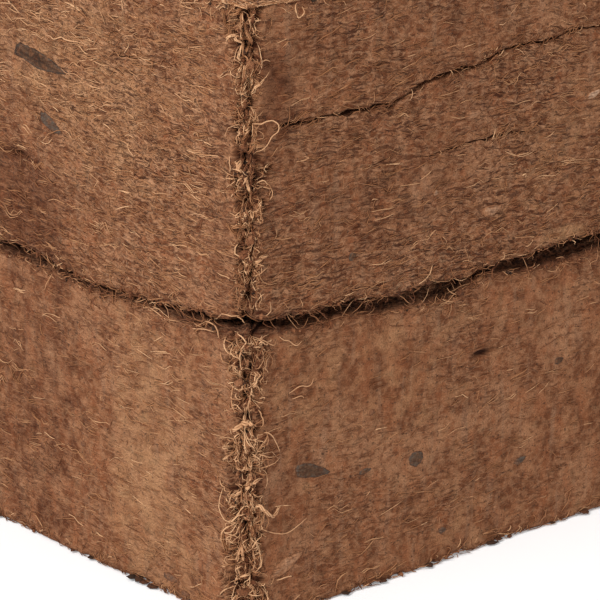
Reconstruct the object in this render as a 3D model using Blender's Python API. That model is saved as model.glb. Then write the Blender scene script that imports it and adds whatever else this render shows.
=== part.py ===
"""Compressed coconut coir bale: two pressed layers that have parted along a level seam.

The model is in metres, +Z up, with its origin in the middle of the flat underside. The dimensions below
are in millimetres. A place on the sides is given by its height and by its distance round the bale from the
surveyed corner, which is the upright corner at +X, -Y: positive along the +X face, negative along the -Y
face.
"""

import math

import bmesh
import bpy
import numpy as np

MM = 0.001

# Driving dimensions
SIDE = 300.0
HEIGHT = 150.0
SEAM_HEIGHT = 73.6
SEAM_REST_GAP = 0.3
HALF = SIDE / 2
PERIMETER = 4 * SIDE

# The parted seam where it was surveyed: distance round the bale, height of its middle, width of its mouth
SEAM_LINE = (
    (-95, 74.3, 2.4), (-78, 73.8, 1.9), (-62, 72.4, 1.2), (-44, 72.6, 1.0), (-26, 72.8, 2.3),
    (-12, 73.6, 2.0), (0, 75.9, 2.4), (11, 74.0, 2.5), (30, 73.4, 2.4), (48, 72.2, 3.5),
    (66, 71.2, 4.6), (73, 72.4, 1.6), (84, 73.7, 2.2), (98, 73.3, 4.0), (112, 73.9, 4.8),
    (124, 74.3, 3.0),
)
SEAM_BLEND = 22.0

# Elsewhere the seam wanders. Each wave is its turns round the bale and its phase.
SEAM_WANDER = 1.9
SEAM_WANDER_WAVES = ((5, 0.4), (11, 2.1), (23, 4.0))
SEAM_MOUTH = 2.2
SEAM_MOUTH_SPREAD = 1.3
SEAM_MOUTH_WAVES = ((7, 1.3), (17, 0.2), (29, 3.3))

# Inside the seam, rings of points by their distance in from the face and how far they have levelled out
SEAM_RINGS = ((6.0, 0.45), (18.0, 1.0))

# Cracks along the bedding of each layer: points as distance round the bale and height, mouth and depth
UPPER_CRACKS = (
    {
        "line": ((9, 121.2), (44, 121.0), (58, 124.8), (72, 126.4), (86, 129.1), (102, 129.6),
                 (118, 131.0), (150, 130.2), (188, 132.5)),
        "mouth": 1.2, "depth": 6.0,
    },
    {"line": ((395, 104.0), (440, 106.5), (490, 103.0), (545, 107.5)), "mouth": 1.4, "depth": 5.0},
)
LOWER_CRACKS = (
    {"line": ((-235, 44.0), (-190, 41.0), (-150, 42.5)), "mouth": 1.0, "depth": 4.0},
    {"line": ((655, 36.0), (700, 38.5), (760, 34.5), (815, 37.0)), "mouth": 1.4, "depth": 6.0},
)
UPPER_BED = 117.0
LOWER_BED = 38.0
BED_BLEND = 30.0
CRACK_FADE = 10.0
CLOSED_MOUTH = 0.6

# The ragged upright corners: a worn strip across each, with pits and lumps
CORNER_LEG = 3.9
CORNER_LEG_SPREAD = 0.9
CORNER_PIT = 1.5
CORNER_LUMP = 0.5
CORNER_POINTS = 2

# The pressed faces are a little hollow in places
FACE_HOLLOW = 1.3
HOLLOW_WAVES = ((7, 0.3), (13, 1.9), (19, 5.1))
HOLLOW_MEAN = 0.4
HOLLOW_ROUND = 0.4
HOLLOW_UP = 0.2
HOLLOW_PITCH = 96.0
HOLLOW_TURNS = 3

# Rounding of the seam's lips and of the top and bottom edges
LIP_DROP = 1.3
LIP_INSET = 1.1
EDGE_DROP = 1.6
EDGE_INSET = 1.3
EDGE_INSET_SPREAD = 0.7

# How the sides are divided
FACE_COLUMNS = 27
NEAR_CORNER = 4.0
LEVELS_PER_BAND = 7
SMOOTH_UP_TO = math.radians(32)
SEED = 41

# Each face as its first corner, the way along it, and the way out of it
FACES = (
    (np.array([HALF, -HALF]), np.array([0.0, 1.0]), np.array([1.0, 0.0])),
    (np.array([HALF, HALF]), np.array([-1.0, 0.0]), np.array([0.0, 1.0])),
    (np.array([-HALF, HALF]), np.array([0.0, -1.0]), np.array([-1.0, 0.0])),
    (np.array([-HALF, -HALF]), np.array([1.0, 0.0]), np.array([0.0, -1.0])),
)

# Columns bunch towards the surveyed corner by these powers, negative where it is at the face's end
BUNCH = (1.35, 1.0, 1.0, -1.35)

COIR_COLOUR = (0.245, 0.128, 0.066, 1.0)
COIR_ROUGHNESS = 0.95


def ease(x):
    """Smooth step from 0 to 1."""
    x = np.clip(x, 0.0, 1.0)
    return x * x * (3.0 - 2.0 * x)


def past(distance, start):
    """The same place round the bale, counted so that it is as near to start as it can be."""
    return start + (distance - start + PERIMETER / 2) % PERIMETER - PERIMETER / 2


def waves(distance, turns_and_phases):
    """Mean of waves that close round the bale, between -1 and 1."""
    angle = 2 * math.pi * distance / PERIMETER
    return sum(math.sin(turns * angle + phase) for turns, phase in turns_and_phases) / len(turns_and_phases)


def within(s, first, last, blend):
    """1 between first and last, fading to 0 over blend outside them."""
    return ease((s - first + blend) / blend) * ease((last + blend - s) / blend)


def seam_at(distance):
    """(height, mouth) of the seam at a distance round the bale."""
    height = SEAM_HEIGHT + SEAM_WANDER * waves(distance, SEAM_WANDER_WAVES)
    mouth = SEAM_MOUTH + SEAM_MOUTH_SPREAD * waves(distance, SEAM_MOUTH_WAVES)
    s = past(distance, 0.0)
    distances, heights, mouths = zip(*SEAM_LINE)
    surveyed = within(s, distances[0], distances[-1], SEAM_BLEND)
    height += surveyed * (np.interp(s, distances, heights) - height)
    mouth += surveyed * (np.interp(s, distances, mouths) - mouth)
    return float(height), float(mouth)


def bedding_at(distance, cracks, bed):
    """(height, mouth, depth) of a layer's bedding line, which is open where a crack runs."""
    height, mouth, depth = bed, CLOSED_MOUTH, 0.0
    for crack in cracks:
        distances, heights = zip(*crack["line"])
        s = past(distance, (distances[0] + distances[-1]) / 2)
        near = within(s, distances[0], distances[-1], BED_BLEND)
        height += near * (np.interp(s, distances, heights) - height)
        opened = ease((s - distances[0]) / CRACK_FADE) * ease((distances[-1] - s) / CRACK_FADE)
        mouth += opened * (crack["mouth"] - mouth)
        depth += opened * crack["depth"]
    return float(height), float(mouth), float(depth)


def face_hollow(distance, height):
    """How far a pressed face lies inside its flat plane, from nothing to FACE_HOLLOW."""
    up = math.sin(2 * math.pi * (height / HOLLOW_PITCH + HOLLOW_TURNS * distance / PERIMETER))
    share = HOLLOW_MEAN + HOLLOW_ROUND * waves(distance, HOLLOW_WAVES) + HOLLOW_UP * up
    return FACE_HOLLOW * max(0.0, share)


def columns(k, first, last):
    """Places of the columns along face k."""
    share = np.linspace(0.0, 1.0, FACE_COLUMNS - 2)
    if BUNCH[k] < 0:
        share = 1.0 - (1.0 - share) ** -BUNCH[k]
    else:
        share = share ** BUNCH[k]
    return first + (last - first) * share


class Outline:
    """Makes the points of one level: every face's columns, and the worn strip across every corner."""

    def __init__(self, seed):
        self.rng = np.random.default_rng(seed)

    def level(self, height_at, inset=0.0, depth_at=None):
        """Points of one level. height_at and depth_at give a height and a depth into the face by distance."""
        legs = CORNER_LEG + CORNER_LEG_SPREAD * self.rng.uniform(-1, 1, 4)
        points = []
        for k, (start, along, out) in enumerate(FACES):
            first, last = legs[k], SIDE - legs[(k + 1) % 4]
            for t in (first, *columns(k, first + NEAR_CORNER, last - NEAR_CORNER), last):
                distance = k * SIDE + t
                height = height_at(distance)
                depth = face_hollow(distance, height)
                if depth_at:
                    depth += depth_at(distance)
                points.append((*(start + along * t - out * depth), height))
            points += self.corner(k, legs[(k + 1) % 4], height_at)
        points = np.array(points)
        points[:, :2] *= 1.0 - inset / HALF
        return points

    def corner(self, k, leg, height_at):
        """The points inside the worn strip after face k, each in a pit or on a lump."""
        start, along, out = FACES[k]
        next_start, next_along, next_out = FACES[(k + 1) % 4]
        begin = start + along * (SIDE - leg)
        end = next_start + next_along * leg
        inward = -(out + next_out) / math.sqrt(2)
        points = []
        for n in range(1, CORNER_POINTS + 1):
            share = n / (CORNER_POINTS + 1)
            pit = self.rng.uniform(-CORNER_LUMP, CORNER_PIT)
            distance = (k + 1) * SIDE + leg * (2 * share - 1)
            points.append((*(begin + (end - begin) * share + inward * pit), height_at(distance)))
        return points


def band(outline, low_at, high_at):
    """Levels from one line round the bale up to another."""
    levels = []
    for n in range(LEVELS_PER_BAND + 1):
        share = n / LEVELS_PER_BAND
        levels.append(outline.level(lambda d: low_at(d) + (high_at(d) - low_at(d)) * share))
    return levels


def side(outline, low_at, high_at, cracks, bed):
    """Levels of a layer's sides, with the bedding line and its cracks between their two bands."""
    def under(distance):
        height, mouth, _ = bedding_at(distance, cracks, bed)
        return height - mouth / 2

    def over(distance):
        height, mouth, _ = bedding_at(distance, cracks, bed)
        return height + mouth / 2

    lower_band = band(outline, low_at, under)
    bottom_of_crack = outline.level(
        lambda d: bedding_at(d, cracks, bed)[0],
        depth_at=lambda d: bedding_at(d, cracks, bed)[2])
    return [*lower_band, bottom_of_crack, *band(outline, over, high_at)]


def seam_face(outline, lip_at, plane):
    """Levels from a seam's lip inwards, until the face is flat and the other layer lies against it."""
    levels = [outline.level(lip_at, inset=LIP_INSET)]
    for inset, share in SEAM_RINGS:
        levels.append(outline.level(lambda d: lip_at(d) + (plane - lip_at(d)) * share, inset=inset))
    return levels


def skin(name, levels):
    """A closed mesh over the levels, bottom first, with a flat face at each end."""
    bm = bmesh.new()
    rings = [[bm.verts.new(point * MM) for point in level] for level in levels]
    count = len(rings[0])
    for below, above in zip(rings, rings[1:]):
        for i in range(count):
            j = (i + 1) % count
            bm.faces.new((below[i], below[j], above[j], above[i]))
    bm.faces.new(rings[0][::-1])
    bm.faces.new(rings[-1])
    bmesh.ops.triangulate(bm, faces=bm.faces[:], quad_method="SHORT_EDGE")
    bmesh.ops.recalc_face_normals(bm, faces=bm.faces[:])
    mesh = bpy.data.meshes.new(name)
    bm.to_mesh(mesh)
    bm.free()
    mesh.shade_smooth()
    mesh.set_sharp_from_angle(angle=SMOOTH_UP_TO)
    return mesh


def lower_layer():
    """The layer that stands on the floor. The seam's lower lip is its upper edge."""
    outline = Outline(SEED)

    def lip(distance):
        height, mouth = seam_at(distance)
        return height - mouth / 2

    edge = EDGE_INSET + EDGE_INSET_SPREAD * outline.rng.uniform(-1, 1)
    levels = [outline.level(lambda d: 0.0, inset=edge)]
    levels += side(outline, lambda d: EDGE_DROP, lambda d: lip(d) - LIP_DROP, LOWER_CRACKS, LOWER_BED)
    levels += seam_face(outline, lip, SEAM_HEIGHT - SEAM_REST_GAP / 2)
    return skin("lower_layer", levels)


def upper_layer():
    """The layer that lies on the lower one. The seam's upper lip is its lower edge."""
    outline = Outline(SEED + 1)

    def lip(distance):
        height, mouth = seam_at(distance)
        return height + mouth / 2

    edge = EDGE_INSET + EDGE_INSET_SPREAD * outline.rng.uniform(-1, 1)
    levels = seam_face(outline, lip, SEAM_HEIGHT + SEAM_REST_GAP / 2)[::-1]
    top_edge = HEIGHT - EDGE_DROP
    levels += side(outline, lambda d: lip(d) + LIP_DROP, lambda d: top_edge, UPPER_CRACKS, UPPER_BED)
    levels.append(outline.level(lambda d: HEIGHT, inset=edge))
    return skin("upper_layer", levels)


def coir_material(name):
    """Dry pressed coir: matt brown."""
    material = bpy.data.materials.new(name)
    material.use_nodes = True
    shader = material.node_tree.nodes["Principled BSDF"]
    shader.inputs["Base Color"].default_value = COIR_COLOUR
    shader.inputs["Roughness"].default_value = COIR_ROUGHNESS
    shader.inputs["Metallic"].default_value = 0.0
    return material


def place(mesh, parent):
    """The named object of one layer, with a material of its own."""
    layer = bpy.data.objects.new(mesh.name, mesh)
    bpy.context.scene.collection.objects.link(layer)
    mesh.materials.append(coir_material(mesh.name + "_coir"))
    layer.parent = parent


def main():
    for leftover in list(bpy.data.objects):
        bpy.data.objects.remove(leftover)
    bale = bpy.data.objects.new("bale", None)
    bpy.context.scene.collection.objects.link(bale)
    place(lower_layer(), bale)
    place(upper_layer(), bale)


main()
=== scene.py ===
"""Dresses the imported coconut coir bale: felted skins, loose fibres, crumbs and husk chips, light and camera.

Shapes are worked out in millimetres and turned into metres where a mesh is made. A place on the sides is
given by its distance round the bale from the surveyed corner, which is the upright corner at +X, -Y
(positive along the +X face, negative along the -Y face), and by its height above the base.
"""

import math
from itertools import product

import bpy
import numpy as np
from mathutils import Matrix, Vector


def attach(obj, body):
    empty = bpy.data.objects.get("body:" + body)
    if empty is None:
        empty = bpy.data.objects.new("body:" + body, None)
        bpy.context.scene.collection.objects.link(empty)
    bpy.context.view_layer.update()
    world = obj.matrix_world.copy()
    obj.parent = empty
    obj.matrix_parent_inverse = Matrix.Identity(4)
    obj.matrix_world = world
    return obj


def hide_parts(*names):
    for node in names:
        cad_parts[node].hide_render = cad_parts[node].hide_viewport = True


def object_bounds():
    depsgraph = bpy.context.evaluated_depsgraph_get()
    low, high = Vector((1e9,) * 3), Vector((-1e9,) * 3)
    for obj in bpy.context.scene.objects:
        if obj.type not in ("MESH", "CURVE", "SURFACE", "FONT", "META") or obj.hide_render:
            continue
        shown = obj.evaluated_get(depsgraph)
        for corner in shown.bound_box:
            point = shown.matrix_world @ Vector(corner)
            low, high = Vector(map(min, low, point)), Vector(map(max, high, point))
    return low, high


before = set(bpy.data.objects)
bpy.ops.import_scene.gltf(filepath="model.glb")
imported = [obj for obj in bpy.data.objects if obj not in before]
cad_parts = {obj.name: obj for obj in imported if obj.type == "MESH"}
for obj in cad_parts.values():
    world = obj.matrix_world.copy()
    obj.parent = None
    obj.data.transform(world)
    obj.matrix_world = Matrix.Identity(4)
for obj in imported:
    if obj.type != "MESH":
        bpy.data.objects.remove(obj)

bl_info = {
    "name": "Pressed coconut coir bale",
    "version": (1, 0, 0),
    "blender": (4, 5, 0),
    "location": "3D View > Sidebar > Coir bale",
    "description": "Makes the felt, fibres, crumbs and husk chips of a pressed coir bale",
    "category": "Object",
}

CAD_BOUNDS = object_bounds()
BODY = "root"
UPPER = "upper_layer"
LOWER = "lower_layer"
MM = 0.001

# Size of the bale, from the frame
SIDE = round((CAD_BOUNDS[1].x - CAD_BOUNDS[0].x) / MM, 1)
HEIGHT = round((CAD_BOUNDS[1].z - CAD_BOUNDS[0].z) / MM, 1)
HALF = SIDE / 2
PERIMETER = 4 * SIDE

# Distances round to the back corner and to all four upright corners
BACK = PERIMETER / 2
CORNERS = (0.0, SIDE, -SIDE, BACK)

# Each side face as its first corner, the way along it and the way out of it
START = np.array([[HALF, -HALF], [HALF, HALF], [-HALF, HALF], [-HALF, -HALF]])
ALONG = np.array([[0.0, 1.0], [-1.0, 0.0], [0.0, -1.0], [1.0, 0.0]])
OUT = np.array([[1.0, 0.0], [0.0, 1.0], [-1.0, 0.0], [0.0, -1.0]])

# Where the columns of the skins stand: distances round the bale and the spacing between them
COLUMNS = (
    (-600, -593, 0.9), (-593, -307, 3), (-307, -293, 0.9), (-293, -100, 2.6), (-100, -10, 0.85),
    (-10, 10, 0.48), (10, 126, 0.85), (126, 293, 2.6), (293, 307, 0.9), (307, 593, 3), (593, 600, 0.9),
)
LEVEL_PITCH = 0.8
SEEN_LEFT = -102.0
SEEN_RIGHT = 128.0

# The seam: the middle plane that its two faces level out to, and how it wanders on the hidden sides
SEAM_HEIGHT = 73.6
SEAM_REST_GAP = 0.3
SEAM_WANDER = 1.9
SEAM_WANDER_WAVES = ((5, 0.4), (11, 2.1), (23, 4.0))
SEAM_MOUTH = 2.2
SEAM_MOUTH_SPREAD = 1.3
SEAM_MOUTH_WAVES = ((7, 1.3), (17, 0.2), (29, 3.3))
SEAM_BLEND = 22.0
SEAM_LEVELLING = ((0.0, 0.0), (1.1, 0.0), (6.0, 0.45), (18.0, 1.0))
SEAM_INSETS = (1.9, 3.0, 4.5, 6.5, 9.5, 13.0, 18.0)
SEAM_SHALLOWS = ((-110.0, -10.0, 2.4), (18.0, 124.0, 1.0))

# The seam's two lips where they are seen: distance round the bale and height
UPPER_LIP = (
    (-95, 75.5), (-86, 75.8), (-78, 74.7), (-65, 73.3), (-57, 72.8), (-44, 73), (-35, 73.5), (-24, 74.2),
    (-9, 75.2), (-4, 76.3), (0, 77), (5, 75.6), (17, 74.6), (36, 74.6), (44, 73.5), (56, 74.1), (68, 73.8),
    (73, 72.8), (76, 74.3), (92, 74.8), (107, 75.8), (112, 76.4), (124, 75.8),
)
LOWER_LIP = (
    (-95, 73.1), (-82, 72.8), (-74, 73.1), (-66, 72.1), (-57, 71.5), (-48, 71.6), (-40, 72.3), (-24, 71.7),
    (-16, 72.5), (-9, 72.8), (-4, 73.3), (0, 74.2), (5, 73.5), (11, 72.6), (17, 71.7), (30, 72.2),
    (44, 70.2), (56, 70.3), (63, 69.2), (67, 68.4), (70, 70.9), (74, 71.9), (78, 73), (84, 72.6),
    (92, 71.1), (107, 71.4), (113, 71.3), (124, 72.6),
)

# The bedding lines of each layer: distance, height. A line is only a crack where it is open.
LOWER_BED = (
    (-600, 38), (-540, 36), (-500, 38.5), (-440, 34.5), (-385, 37), (-300, 40), (-235, 44), (-190, 41),
    (-150, 42.5), (-90, 37), (-40, 33), (0, 34), (60, 40), (120, 37), (220, 33), (330, 39), (430, 35.5),
    (520, 38.5), (600, 38),
)
UPPER_BED = (
    (-600, 105), (-470, 102), (-330, 106), (-200, 103), (-100, 99.5), (-80, 99.5), (-60, 103), (0, 106),
    (37, 107), (48, 108.5), (57, 106.5), (75, 107.6), (92, 107.3), (180, 103), (300, 102), (395, 104),
    (440, 106.5), (490, 103), (545, 107.5), (600, 105),
)
UPPER_CRACK = (
    (-600, 124), (-540, 121), (-430, 126), (-330, 122), (-240, 127), (-150, 124), (-70, 129), (-51, 131),
    (-36, 132.2), (-22, 131), (0, 122), (9, 121.2), (20, 121), (42, 121), (46, 121), (50, 122.4),
    (58, 124.9), (68, 126.3), (74, 126.3), (78, 127.4), (85, 129), (102, 129.4), (106, 130.8), (118, 130.6),
    (150, 130.2), (188, 132.5), (260, 128), (350, 122), (420, 127), (500, 123), (600, 124),
)

# Where those lines are open: first and last distance, mouth and depth
LOWER_BED_OPEN = (
    (-545, -385, 1.3, 6), (-235, -150, 0.9, 4), (330, 372, 0.6, 1.6), (150, 188, 0.5, 1.2),
)
UPPER_BED_OPEN = (
    (395, 545, 1.3, 5), (36, 49, 0.35, 1.2), (55, 93, 0.45, 1.6), (74, 95, 0.6, 1.8), (-94, -80, 1.6, 1.1),
    (-470, -425, 0.6, 1.8), (-262, -215, 0.5, 1.4),
)
UPPER_CRACK_OPEN = (
    (9, 80, 1.25, 6), (73, 107, 0.9, 5), (100, 188, 0.5, 4), (-51, -30, 0.35, 0.9), (-540, -470, 0.6, 1.8),
    (-235, -190, 0.5, 1.5), (330, 362, 0.6, 1.6),
)
CRACK_FADE = 7.0
CLOSED_MOUTH = 0.2

# Profile of an open crack: place across the mouth, share of the full depth, and how dark it is painted, which
# is painted shade inside the crack
CRACK_PROFILE = (
    (-1.7, 0.0, 0.0), (-1.0, 0.04, 0.35), (-0.72, 0.3, 0.8), (-0.25, 1.0, 1.0),
    (0.25, 1.0, 1.0), (0.72, 0.3, 0.8), (1.0, 0.04, 0.35), (1.7, 0.0, 0.0),
)

# The pressed faces are a little hollow in places, as in the solids
FACE_HOLLOW = 1.3
HOLLOW_WAVES = ((7, 0.3), (13, 1.9), (19, 5.1))

# Pits, gouges and broken hollows: distance, height, half length, half height, depth
DENTS = (
    (1.8, 145, 1.4, 2.4, 1.5), (3.4, 142.2, 1.5, 2.4, 1.6), (-0.8, 138.6, 1.3, 1.7, 1.7),
    (-2, 134.2, 0.7, 2.8, 1.4), (3.5, 133.7, 1.6, 1, 1.2), (0.3, 126.8, 2.3, 1.7, 1.5),
    (-3.2, 123, 1.1, 0.9, 1.2), (0.8, 115.2, 3, 1.2, 2.2), (0.9, 113, 1, 1, 2), (3.4, 109.4, 3, 2.6, 1.8),
    (-1.4, 106.4, 2.6, 2.8, 2.5), (0.4, 97.4, 2.6, 0.8, 1.8), (-2.2, 93.5, 2.2, 1.2, 1.5),
    (2, 81.5, 2.6, 2.2, 1.3), (-4.8, 67.6, 1.1, 0.9, 1.1), (2.4, 65.6, 2.2, 2.8, 1.6),
    (-0.3, 61.8, 1.8, 1.1, 1.6), (0, 57.6, 3.4, 1.8, 1.5), (1.6, 51.8, 1.4, 2.4, 1.7),
    (-2, 44.2, 0.7, 2.4, 1.5), (-1.8, 35, 2.2, 1, 1.8), (-0.8, 23.2, 3, 1.4, 1.8),
    (-3.6, 19.4, 2.1, 1.3, 1.7), (1.6, 17, 1.6, 2.4, 1.4), (-4, 10.2, 3.6, 0.9, 1.8),
    (78.7, 52.6, 3.8, 0.8, 1.5), (-89, 100.2, 6.5, 1.1, 0.9), (7.5, 136.5, 1.5, 1.3, 0.7),
    (10, 133.8, 1.5, 1.3, 0.8), (12.6, 131.4, 1.6, 1.2, 0.8), (58, 20, 2.5, 0.5, 0.5),
    (35, 93, 2, 0.5, 0.5), (-30, 50, 1.6, 0.5, 0.4), (178, 88, 4, 0.9, 1.2), (402, 60, 5, 1, 1.4),
    (-410, 112, 4.5, 1.1, 1.3),
)
DENT_PULL = 0.45

# How far raw felt reaches along the faces left and right of the surveyed corner: height, reach
RAW_LEFT = (
    (0, 7.5), (10, 7.9), (16, 6), (27, 6.2), (34, 8), (44, 7.6), (50, 4), (57, 4.3), (62, 6), (70, 6.4),
    (77, 4.2), (90, 3.4), (101, 3.8), (106, 5.6), (115, 6), (122, 5.4), (128, 4), (134, 4), (139, 6.6),
    (146, 7), (150, 8),
)
RAW_RIGHT = (
    (0, 7.5), (10, 7.3), (16, 5.8), (27, 5.8), (34, 6.9), (44, 5.8), (52, 5.8), (58, 5.4), (64, 6.8),
    (72, 7), (80, 5.2), (100, 4.7), (105, 7), (112, 8.4), (118, 3.8), (124, 3.6), (130, 4.7), (145, 4.8),
    (150, 6),
)
USUAL_RAW = 5.4
SURVEYED_REACH = 14.0

# How far in from the faces the pits and the raw felt have faded out
FLAT_EDGE = 4.0

# Draws noise out upwards, for what runs up a corner
UPRIGHT = (0.2, 0.2, 1.0)

# Broad stains: distance, height, half length, half height, and how golden they are, or how dark below zero
STAINS = (
    (-28.5, 36, 26, 44, 0.62), (-10, 46, 5, 32, -0.15), (-84, 30, 26, 48, -0.55), (-93, 88, 22, 16, -1.6),
    # The dark ones at 7.5 to 11 round and 125 to 137 high paint the shade of a shallow gouge
    (45, 98, 20, 14, -0.4), (-62, 124, 30, 26, 0.55), (-10, 108, 6, 36, -0.5), (7.5, 136.5, 4, 4.4, -0.75),
    (11, 132.5, 4, 4, -0.7), (10, 125, 7, 7, -0.8), (14, 104, 13, 24, -0.25), (106.5, 78.6, 9, 2.2, 1),
    (30, 60, 30, 16, 0.15), (60, 140, 60, 9, -0.15), (92, 96, 26, 12, 0.45), (104, 112, 20, 12, 0.35),
    (-19, 112, 7, 40, 0.3),
)

# Husk chips pressed into the faces: distance, height, half length, half height, tilt in degrees, tone
CHIPS = (
    (-77.9, 125, 11.2, 2.3, -7, 0), (-73.2, 110, 5.2, 1.6, -26, 0.3), (22, 34.9, 5.6, 1.9, -14, 0.12),
    (39.2, 30.7, 2.3, 0.7, 6, 0.2), (56.4, 30, 2.6, 1.9, 24, 0.2), (93.6, 20.6, 2.5, 0.9, 12, 0.4),
    (41, 45.5, 1, 0.8, 0, 0.55), (115.5, 113.4, 2.7, 1.1, 16, 0.95), (81, 89, 3.6, 1.5, 10, 0.86),
    (73.5, 114.4, 3.2, 1.4, 12, 0.83), (14.5, 13, 5.6, 2, 22, 0.84), (-20, 14, 1.6, 0.9, 30, 0.78),
    (-62, 30, 1.2, 0.8, 0, 0.58), (-38, 91, 1.3, 0.7, -20, 0.8), (34, 86, 1.3, 1, 0, 0.12),
    (106, 45, 1.5, 0.9, 18, 0.1), (66, 8.5, 1.6, 0.9, 0, 0.45), (-28, 4.6, 3.2, 1, -4, 0.52),
    (-22.5, 2.2, 1.6, 0.8, 0, 0.56), (30, 141, 1.2, 0.7, 0, 0.72), (61, 97, 1, 0.8, 0, 0.9),
    (-48, 64, 1.2, 0.7, 15, 0.62), (97, 140.5, 1.4, 0.8, 0, 0.7),
)
HIDDEN_CHIPS = 90
TOP_CHIPS = 34

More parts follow.
